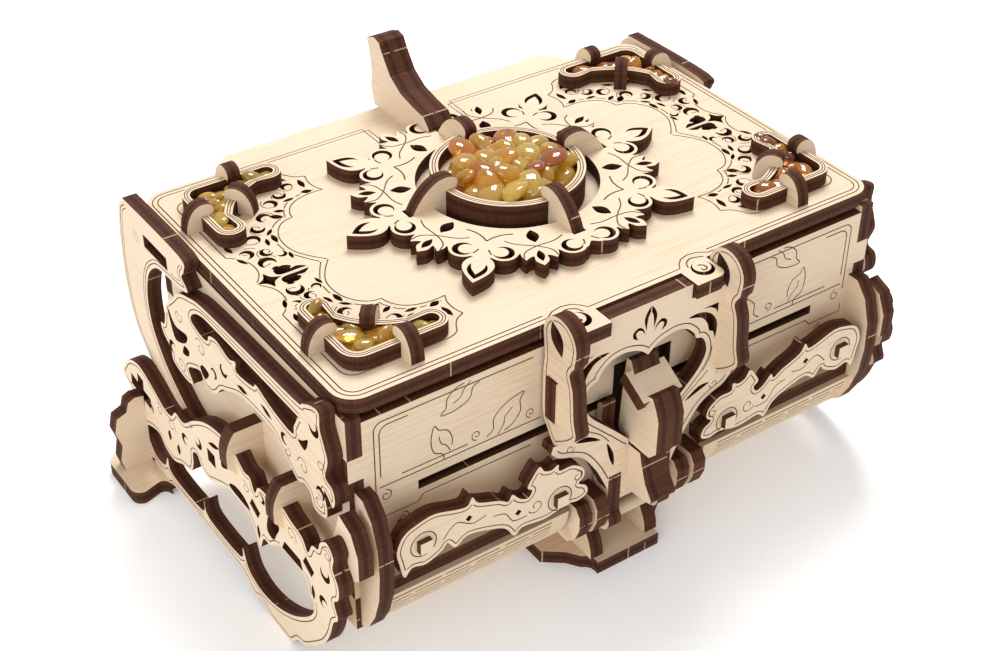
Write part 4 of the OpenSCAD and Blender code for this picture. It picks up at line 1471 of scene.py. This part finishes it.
    def frame_plate(self, datum: Datum) -> Plate:
        """The large side frame that reaches the ground.

        Args:
            datum: The casket's places.

        Returns:
            The plate of the left side.
        """
        outline = smooth(self.frame, 4)
        ground = -datum.lid_top + 0.02
        outline[:, 1] = np.maximum(outline[:, 1], ground)
        window = smooth(self.frame_window, 4)
        cross = place(np.array([(-6, -2), (-1.8, -2), (-1.8, -5.5), (1.8, -5.5), (1.8, -2), (6, -2),
                                (6, 2), (1.8, 2), (1.8, 5.5), (-1.8, 5.5), (-1.8, 2), (-6, 2)]),
                      (48, -57), 8)
        holes = [window, cross] + [rect(y, y + datum.ply, -45, -37) for y in (-10, -33.5)]
        holes += [smooth(points, 4) for points in (
            [(-1, -49), (-1.2, -46), (-4, -43.4), (-7, -44.4), (-5, -47)],
            [(-4.4, -53), (-7, -50.6), (-12, -50.4), (-15, -53.2)],
            [(-24, -52.6), (-25.4, -47), (-29, -44.4), (-30.8, -47), (-29, -50.4), (-27, -53.6)])]
        holes += [place(rect(-2.1, 2.1, -2.1, 2.1), (5, -50.4)), lens((6, -46), (-0.6, -43.6), 0.8),
                  np.array([(-31.4, -52.6), (-33, -49.4), (-40.6, -49.4), (-41.6, -52.4)], float)]
        holes += [place(rect(-2.2, 2.2, -1.6, 1.6), at, 30) for at in ((-18.2, -50), (-44.6, -48.4))]
        holes += [lens((y, z + 2), (y + 0.6, z - 2), 1) for y, z in ((31, -61), (26, -62.6))]
        holes += [lens((-19, -54.6), (-19, -59.6), 0.8), lens((-46, -53), (-46, -58), 0.8)]
        holes += [crescent((12.4, -50.6), 2.0, 40), crescent((21.0, -55.4), 1.9, 200),
                  crescent((51.6, -66.4), 2.3, 100), crescent((42.6, -59.0), 1.8, 280),
                  crescent((-52.6, -44.6), 2.2, 80), crescent((-50.8, -54.8), 1.9, 220),
                  crescent((-22.6, -43.8), 1.5, 0)]
        lines = contour([outline, window], 1.15) + self._curls([
            (16.4, -46.8, 2.0, 30), (29.0, -56.4, 2.4, 200), (36.4, -55.6, 2.0, 60),
            (53.6, -58.6, 2.2, 120), (-54.0, -37.4, 1.7, 40), (-37.0, -44.0, 2.4, 210),
            (52.4, -76.6, 2.4, 20), (-14.0, -46.2, 1.9, 60)])
        return Plate("left_carved_frame", "box", Lay.ENDWAYS, -datum.half_frame, [outline], holes, lines,
                     high_side=False, stands_for=("left_side_frame",))

    def build(self, datum: Datum, finish: Plywood) -> None:
        """Makes both sides."""
        for plate, name, node in (
            (self.scroll_plate(datum), "right_carved_scroll", "right_side_scroll"),
            (self.bracket_plate(datum), "right_carved_bracket", "right_rear_bracket"),
            (self.frame_plate(datum), "right_carved_frame", "right_side_frame"),
        ):
            plate.build(datum, finish)
            plate.mirrored(name, node).build(datum, finish)


# ---------------------------------------------------------------- front


@dataclass
class Front:
    """The front panels and the two acanthus bars; the reeded covers below them are made by ReededCover."""

    panel: float = -PANEL_OUT
    bar_face: float = -60.0
    bar_shift: tuple = (-6.8, 6.7)
    peg: float = 3.4
    pegs: tuple = ((-66, -40.9), (-26.8, -46.9))
    bar: tuple = (
        (-64.5, -42.5), (-61, -40.8), (-56, -40), (-50, -41.8), (-47, -42.2), (-45.6, -40.2),
        (-43.8, -42.8), (-38, -45.2), (-35.4, -46.8), (-34.2, -45.2), (-32, -47.6), (-29.6, -48.6),
        (-28.4, -46.8), (-29.8, -45.4), (-28.6, -43), (-26.4, -40.4), (-25, -42.4), (-22.8, -43.2),
        (-20.8, -42.4), (-20.4, -44.6), (-16.5, -44.8), (-13.2, -47.2), (-12.8, -50), (-14.4, -51.6),
        (-12, -53.4), (-11.6, -56), (-14.4, -57.2), (-18, -56.6), (-24, -58), (-31, -57.2),
        (-33.4, -58.8), (-36.2, -55), (-41, -52.8), (-47, -51.4), (-50.4, -53.4), (-52.6, -50.8),
        (-54.2, -52.4), (-58.6, -54.2), (-62.4, -53.4), (-64.6, -55.4), (-65.8, -50.6), (-66.4, -46.6))
    leaf: tuple = ((0.0, 0.0), (1.8, 1.4), (2.0, 4.6), (5.4, 7.4), (10.0, 8.6), (9.0, 6.4), (9.2, 3.4),
                   (7.0, 0.6), (4.8, -0.4))
    vein: tuple = ((3.0, -0.8), (4.6, 1.6), (5.0, 3.6), (7.0, 5.4))

    def bar_plate(self, datum: Datum) -> Plate:
        """The left acanthus bar: a ring round each peg, two small diamonds and a line along its edge.

        Args:
            datum: The casket's places.

        Returns:
            The bar.
        """
        outline = smooth(self.bar, 4) + self.bar_shift
        half = self.peg / 2 + 0.06
        holes = [rect(x - half, x + half, y - half, y + half) for x, y in self.pegs]
        holes += [place(rect(-0.7, 0.7, -0.7, 0.7), at, 45) for at in ((-53.4, -39.5), (-39.2, -45.1))]
        rings = [Line(disc(at, 3.5, 28), 0.32, True) for at in self.pegs]
        sprigs = [
            Line(smooth([(-60.6, -42.4), (-57.0, -39.2), (-52.4, -41.6), (-48.6, -41.0)], 6, False), 0.3),
            Line(smooth([(-46.4, -42.6), (-43.0, -43.6), (-40.6, -47.0), (-36.6, -47.4)], 6, False), 0.3),
            Line(spiral((-34.0, -45.6), 2.3, 1.1, 200, 1), 0.28),
            Line(spiral((-21.6, -42.4), 1.8, 1.1, 100, -1), 0.28)]
        return Plate("left_carved_bar", "box", Lay.UPRIGHT, self.bar_face + datum.lid_y, [outline], holes,
                     contour([outline], 1.0, 0.3) + rings + sprigs, high_side=False,
                     stands_for=("left_front_ornament",))

    def _sprig(self, at: tuple, size: float, spin: float, flip: bool = False) -> list[Line]:
        """A small engraved leaf with its vein.

        Args:
            at: Foot of the leaf.
            size: Its length in mm.
            spin: Its turn in degrees.
            flip: Whether it is mirrored.

        Returns:
            The leaf's edge and its vein.
        """
        scale = np.array([-1, 1] if flip else [1, 1]) * size / 10
        leaf, vein = smooth(self.leaf, 4, False) * scale, smooth(self.vein, 4, False) * scale
        return [Line(place(leaf, at, spin), 0.32), Line(place(vein, at, spin), 0.28)]

    def upper_lines(self) -> list[Line]:
        """Border, leaves and curls of the upper panel.

        Returns:
            The engraved lines of both halves.
        """
        lines = []
        for side in (-1, 1):
            corner = np.vstack([[(73.0, -29.0)], arc((70.6, -10.4), 2.4, 0, 90, 6), [(29.5, -8.0)]])
            inner = np.vstack([[(71.6, -24.0)], arc((69.2, -11.8), 2.4, 0, 90, 6), [(64.0, -9.4)]])
            base = [(72.0, -27.0), (27.0, -27.0)]
            second = [(66.0, -25.5), (48.0, -25.5)]
            lines += [Line(np.array(run) * (side, 1)) for run in (corner, inner, base, second)]
            for at, r, spin in (((70.4, -30.0), 1.7, 90), ((45.5, -23.9), 1.5, 270),
                                ((30.0, -24.2), 1.5, 270)):
                lines.append(Line(spiral(at, r, 1.2, spin, 1) * (side, 1), 0.28))
        for flip in (False, True):
            side = 1 if flip else -1
            lines += self._sprig((side * 42.6, -25.8), 10.5, 0, flip) + self._sprig((side * 44.6, -8.4),
                                                                                    9.0, 166 * -side, flip)
            lines += self._sprig((side * 54.6, -27.0), 8.6, 62 * -side, flip)
        return lines

    def panels(self, datum: Datum) -> list[Plate]:
        """The upper panel with its leaves and the lower panel with a plain border.

        Args:
            datum: The casket's places.

        Returns:
            Both panels.
        """
        low = self.panel + datum.lid_y
        upper = Plate("carved_upper_panel", "box", Lay.UPRIGHT, low,
                      [rect(-76, 76, -32.5, -6), rect(-80, 80, -22, -15.5)],
                      [rect(-61.7, 61.7, -33.5, -29.8), rect(-5, 13, -33.5, -21)], self.upper_lines(),
                      high_side=False, stands_for=("upper_front_panel",))
        border = []
        for side in (-1, 1):
            run = np.array([(73.0, -33.6), (73.0, -36.2), (62.0, -36.2), (60.4, -34.4),
                            (29.6, -34.4)]) * (side, 1)
            border += [Line(run), Line(spiral((66.0, -39.0), 1.8, 1.2, 90, 1) * (side, 1), 0.28)]
        lower = Plate("carved_lower_panel", "box", Lay.UPRIGHT, low,
                      [rect(-76, 76, -68, -32.5), rect(-80, 80, -58, -44)], [rect(-5, 5, -46.5, -31.5)],
                      border, high_side=False, stands_for=("lower_front_panel",))
        return [upper, lower]

    def build(self, datum: Datum, finish: Plywood) -> None:
        """Makes the panels and both bars.

        Args:
            datum: The casket's places.
            finish: The plywood.
        """
        for plate in self.panels(datum):
            plate.build(datum, finish)
        bar = self.bar_plate(datum)
        bar.build(datum, finish)
        bar.mirrored("right_carved_bar", "right_front_ornament").build(datum, finish)


@dataclass
class ReededCover:
    """A sheet bent round a quarter circle, slit in staggered rows so that it bends."""

    reeds: int = 10
    thick: float = 2.0
    groove: float = 0.6
    slit: float = 0.46
    pitch: float = 17.0
    bridge: float = 1.3
    step: float = 0.4
    plain: tuple = (5.0, 1.6)
    radius: float = 13.0
    fine: int = 10

    def build(self, name: str, node: str) -> bpy.types.Object:
        """Makes one cover from its node's box.

        The outer face is r(u, a) = R less a groove at each row of slits, where R is the
        bend's radius, a runs over the bend and u along it. A slit is open over its pitch less
        the bridge, and every second row is shifted by half the pitch.

        Args:
            name: Name of the piece.
            node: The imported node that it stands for.

        Returns:
            The piece.
        """
        low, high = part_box(node)
        x0, x1 = low.x / MM, high.x / MM
        radius = self.radius
        centre_y, centre_z = low.y / MM + radius, high.z / MM
        end = math.acos((centre_y - high.y / MM) / radius)
        rows = np.linspace(0, self.reeds, self.reeds * self.fine + 1)
        along = np.linspace(x0, x1, int((x1 - x0) / self.step) + 1)
        u, row = np.meshgrid(along, rows, indexing="ij")
        angle = np.pi + row / self.reeds * end
        nearest = np.round(row)
        off = np.abs(row - nearest) / self.reeds * end * radius
        place_in = (u + (nearest % 2) * self.pitch / 2) % self.pitch
        inner, outer = self.plain
        middle = np.abs(u)
        ends = (middle > np.abs(along).min() + inner) & (middle < np.abs(along).max() - outer)
        open_ = (place_in > self.bridge) & (nearest > 0) & (nearest < self.reeds) & ends
        cut = np.where((off < self.slit / 2) & open_, 1.0, 0.0)
        face = radius - cut * self.groove
        shell = []
        for r in (face, np.full_like(face, radius - self.thick)):
            shell.append(np.stack([u, centre_y + r * np.cos(angle), centre_z + r * np.sin(angle)], 2))
        shape = u.shape
        grid = np.arange(u.size).reshape(shape)
        quads = np.stack([grid[:-1, :-1], grid[1:, :-1], grid[1:, 1:], grid[:-1, 1:]], 2).reshape(-1, 4)
        rim = np.concatenate([grid[:, 0], grid[-1, 1:], grid[-2::-1, -1], grid[0, -2:0:-1]])
        after = np.roll(rim, -1)
        wall = np.column_stack([after, rim, rim + u.size, after + u.size])
        points = np.concatenate([layer.reshape(-1, 3) for layer in shell]) * MM
        faces = np.vstack([quads, quads[:, ::-1] + u.size, wall])[:, ::-1]
        made = solid_object(name, points, [faces])
        scorch = made.data.attributes.new("cut", "FLOAT", "POINT")
        scorch.data.foreach_set("value", np.concatenate([cut.ravel(),
                                                         np.zeros(u.size)]).astype(np.float32))
        made.data.materials.append(bpy.data.materials.get("reeded_birch") or ReededSheet().material())
        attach(made, "box")
        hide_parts(node)
        log.info("%s: %d reeds", name, self.reeds)
        return made


# ---------------------------------------------------------------- clasp


@dataclass
class Clasp:
    """The swinging plate with its heart and the two hook bars that hold the lid's tabs."""

    face: float = -58.0
    bar_in: float = 23.0
    frame: tuple = (
        (12.6, -0.2), (12.6, -4.4), (23, -4.4), (23, -12.8), (27.6, -12.8), (27.6, -24.8), (23, -24.8),
        (23, -31.7), (27.8, -31.7))
    foot: tuple = (
        (28.4, -33.6), (26, -36), (22, -37.6), (18.4, -39.8), (14.6, -45), (12, -50), (10.2, -54),
        (8.6, -57.2), (5.6, -58.8))
    heart: tuple = (
        (0, -15.8), (3, -13.4), (7.6, -12.2), (11.5, -12.9), (14.3, -15.3), (15.2, -17.2), (17.2, -18),
        (18.6, -20.4), (18.8, -23.8), (16.6, -27.8), (12.5, -32), (8.6, -35.8), (4, -40.4), (0, -43))

    def plate(self, datum: Datum) -> Plate:
        """The plate with its heart, leaves and fleur.

        Args:
            datum: The casket's places.

        Returns:
            The plate.
        """
        outline = whole(np.vstack([self.frame, smooth(self.foot, 5, False)]))
        heart = whole(smooth(self.heart, 5, False))
        petals = [
            smooth([(21.5, -19.6), (21.7, -15.2), (19.6, -11.7), (15.8, -9.8), (12.2, -10.1),
                    (16.2, -11.5), (18.4, -14.0), (19.3, -16.6), (20.6, -17.4)], 5),
            np.array([(21.6, -9.0), (16.5, -9.0), (19.0, -9.5), (20.8, -10.6), (21.6, -12.1)]),
            rect(6, 10, -60, -50), smooth([(21, -33.6), (17.4, -33.4), (13.4, -36.2), (17.4, -35)], 5),
            smooth([(11.2, -38.4), (9, -42.6), (8.8, -46.6), (10.4, -43)], 5),
            smooth([(1.4, -9.3), (2.1, -7.4), (3.6, -6.5), (5.1, -7.5), (5.0, -9.1), (3.6, -9.9),
                    (4.1, -8.9), (4.2, -7.9), (3.3, -7.4), (2.2, -8.1)], 4),
            np.vstack([smooth([(0.12, -1.4), (1.3, -3.0), (1.9, -5.2), (1.1, -8.4)], 5, False),
                       smooth([(1.0, -6.4), (0.7, -4.4), (0.12, -3.2)], 5, False)])]
        curls = [Line(smooth([(20.2, -29.4), (17.2, -31.8), (13.4, -34.6), (10.6, -38.0)], 5, False),
                      0.3),
                 Line(smooth([(20.8, -22.0), (20.4, -25.4), (18.4, -28.8)], 5, False), 0.3),
                 Line(spiral((22.6, -34.6), 1.4, 1.1, 180, 1), 0.26)]
        curls += [line.moved(flip_x(line.points)) for line in curls]
        rim = contour([outline, heart], 1.5, 0.34)
        return Plate("carved_clasp", "clasp", Lay.UPRIGHT, self.face + datum.lid_y, [outline],
                     [heart, rect(-4.3, 4.3, -42, -30)] + both(petals), curls + rim, high_side=False,
                     stands_for=("clasp_plate",))

    def hook(self, datum: Datum, name: str, low: float, node: str) -> Plate:
        """One hook bar: a round head, a waist and a leaf-shaped foot.

        Args:
            datum: The casket's places.
            name: Name of the piece.
            low: Place of its left face in mm.
            node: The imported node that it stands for.

        Returns:
            The bar.
        """
        outline = np.vstack([
            arc((-58, -0.6), 6.2, -10, 190, 20),
            smooth([(-63.6, -5), (-62, -8), (-63.4, -12), (-64.2, -20), (-65.2, -24.6), (-62.6, -28),
                    (-58.6, -31), (-56.8, -31.6), (-54.6, -28.6), (-52.5, -25), (-52.1, -18),
                    (-52.2, -11), (-52.6, -8)], 4, False)])
        holes = [lens((-54.9, 3.4), (-59.0, -4.6), 2.3),
                 rect(self.face, self.face + datum.ply, -24.8, -12.8)]
        return Plate(name, "clasp", Lay.ENDWAYS, low, [outline], holes, contour([outline], 1.1, 0.3),
                     high_side=False, stands_for=(node,))

    def build(self, datum: Datum, finish: Plywood) -> None:
        """Makes the plate and both bars.

        Args:
            datum: The casket's places.
            finish: The plywood.
        """
        self.plate(datum).build(datum, finish)
        left = -self.bar_in - datum.ply
        self.hook(datum, "left_carved_hook", left, "left_hook_bar").build(datum, finish)
        self.hook(datum, "right_carved_hook", self.bar_in, "right_hook_bar").build(datum, finish)


# ---------------------------------------------------------------- plain plates and pins


@dataclass(frozen=True)
class PlainPlates:
    """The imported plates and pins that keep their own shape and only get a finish."""

    level: tuple = ("floor_plate", "front_ledge", "front_foot_plate", "rear_foot_plates",
                    "lid_locating_rim")
    upright: tuple = ("back_wall", "side_frame_brackets", "rear_foot_brackets")
    endways: tuple = (
        "left_wall", "right_wall", "left_end_former", "right_end_former", "left_inner_former",
        "right_inner_former", "left_corner_brace", "right_corner_brace", "front_foot_brackets",
        "lid_hinge_ears", "horn_left_layer", "horn_right_layer", "clasp_knuckles", "clasp_wedge",
        "lever_left_layer", "lever_right_layer")
    dowels: tuple = ("hinge_pins", "clasp_axle", "lever_axle")
    cap_tilt: float = -31.0
    peg_length: float = 10.0

    def dress(self, finish: Plywood) -> None:
        """Puts the plywood on each plate by the way it lies, and the dowel wood on the pins.

        Args:
            finish: The plywood.
        """
        for lay, names in ((Lay.LEVEL, self.level), (Lay.UPRIGHT, self.upright),
                           (Lay.ENDWAYS, self.endways)):
            for name in names:
                self._wear(name, finish.material(lay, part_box(name)[0][lay.value] / MM))
        pegs_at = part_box("ornament_pegs")[0].y / MM
        self._wear("ornament_pegs", finish.material(Lay.UPRIGHT, pegs_at, self.peg_length))
        self._wear("lever_cap", finish.material(Lay.LEVEL, 0.0, tilt=self.cap_tilt))
        for name in self.dowels:
            self._wear(name, Dowel().material())

    @staticmethod
    def _wear(name: str, material: bpy.types.Material) -> None:
        """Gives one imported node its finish.

        Args:
            name: Name of the node.
            material: The finish.
        """
        mesh = frame["nodes"][name].data
        mesh.materials.clear()
        mesh.materials.append(material)
        log.info("%s: %s", name, material.name)


# ---------------------------------------------------------------- studio


@dataclass
class Studio:
    """A white table, soft light and the camera."""

    azimuth: float = -35.31
    elevation: float = 36.21
    roll: float = 0.573
    distance: float = 426.6
    aside: tuple = (-2.48, -34.08)
    lens: float = 59.66
    floor_half: float = 4.0
    glow: float = 0.22
    world: float = 0.62
    aim: tuple = (0.0, 0.0, 0.05)
    lamps: tuple = (("key", (0.35, 0.40, 0.95), 0.45, 9.0), ("fill", (-0.85, -0.35, 0.45), 0.7, 3.4))

    def camera(self, datum: Datum) -> None:
        """Puts the camera at its azimuth, elevation and distance from the lid's middle.

        Args:
            datum: The casket's places.
        """
        a, e, r = (math.radians(v) for v in (self.azimuth, self.elevation, self.roll))
        back = Vector((math.sin(a) * math.cos(e), -math.cos(a) * math.cos(e), math.sin(e)))
        right = Vector((math.cos(a), math.sin(a), 0.0))
        up = back.cross(right)
        turned_right = right * math.cos(r) + up * math.sin(r)
        turned_up = up * math.cos(r) - right * math.sin(r)
        middle = Vector((0.0, datum.lid_y, datum.lid_top))
        spot = middle + back * self.distance + turned_right * self.aside[0] + turned_up * self.aside[1]
        data = bpy.data.cameras.new("camera")
        data.lens, data.sensor_width = self.lens, 36.0
        data.clip_start, data.clip_end = 0.01, 50.0
        made = bpy.data.objects.new("camera", data)
        made.matrix_world = (Matrix.Translation(spot * MM)
                             @ Matrix((turned_right, turned_up, back)).transposed().to_4x4())
        bpy.context.scene.collection.objects.link(made)
        bpy.context.scene.camera = made

    def floor(self) -> None:
        """A large white table."""
        h = self.floor_half
        corners = np.array([(-h, -h, 0), (h, -h, 0), (h, h, 0), (-h, h, 0)], float)
        made = solid_object("table", corners, [np.array([[0, 1, 2, 3]])])
        n = Nodes("table_white")
        grain = n.noise(n.object_point((0, 0, 0), 0), 0.01, 2.0)
        white = n.mix(grain, (0.90, 0.90, 0.90), (0.93, 0.93, 0.93))
        made.data.materials.append(n.finish(
            base_color=white, roughness=0.6, emission_color=(1.0, 1.0, 1.0), emission_strength=self.glow))

    def _lamp(self, name: str, at: tuple, size: float, power: float) -> None:
        """Makes one square soft light.

        Args:
            name: Name of the light.
            at: Its place in metres.
            size: Its side in metres.
            power: Its power in watts.
        """
        data = bpy.data.lights.new(name, "AREA")
        data.size, data.energy = size, power
        made = bpy.data.objects.new(name, data)
        made.location = at
        made.rotation_euler = (Vector(self.aim) - Vector(at)).to_track_quat("-Z", "Y").to_euler()
        bpy.context.scene.collection.objects.link(made)

    def light(self) -> None:
        """A bright even room, a key from the right and behind, and a fill from the left."""
        world = bpy.data.worlds.new("room")
        world.use_nodes = True
        ground = world.node_tree.nodes["Background"]
        ground.inputs["Color"].default_value = (1.0, 1.0, 1.0, 1.0)
        ground.inputs["Strength"].default_value = self.world
        bpy.context.scene.world = world
        for lamp in self.lamps:
            self._lamp(*lamp)
        bpy.context.scene.view_settings.view_transform = "Standard"

    def build(self, datum: Datum) -> None:
        """Sets up everything around the casket.

        Args:
            datum: The casket's places.
        """
        self.camera(datum)
        self.floor()
        self.light()


def main() -> None:
    """Builds every sub-assembly, the finishes and the studio in turn."""
    logging.basicConfig(level=logging.INFO, format="%(message)s")
    datum = Datum.from_frame()
    finish = Plywood()
    Studio().build(datum)
    Lid().plate(datum).build(datum, finish)
    Rosette().plate(datum).build(datum, finish)
    Cups().build(datum, finish)
    Sides().build(datum, finish)
    Front().build(datum, finish)
    for side in ("left", "right"):
        ReededCover().build(f"{side}_slit_cover", f"{side}_reeded_cover")
    Clasp().build(datum, finish)
    PlainPlates().dress(finish)


if __name__ == "__main__":
    main()
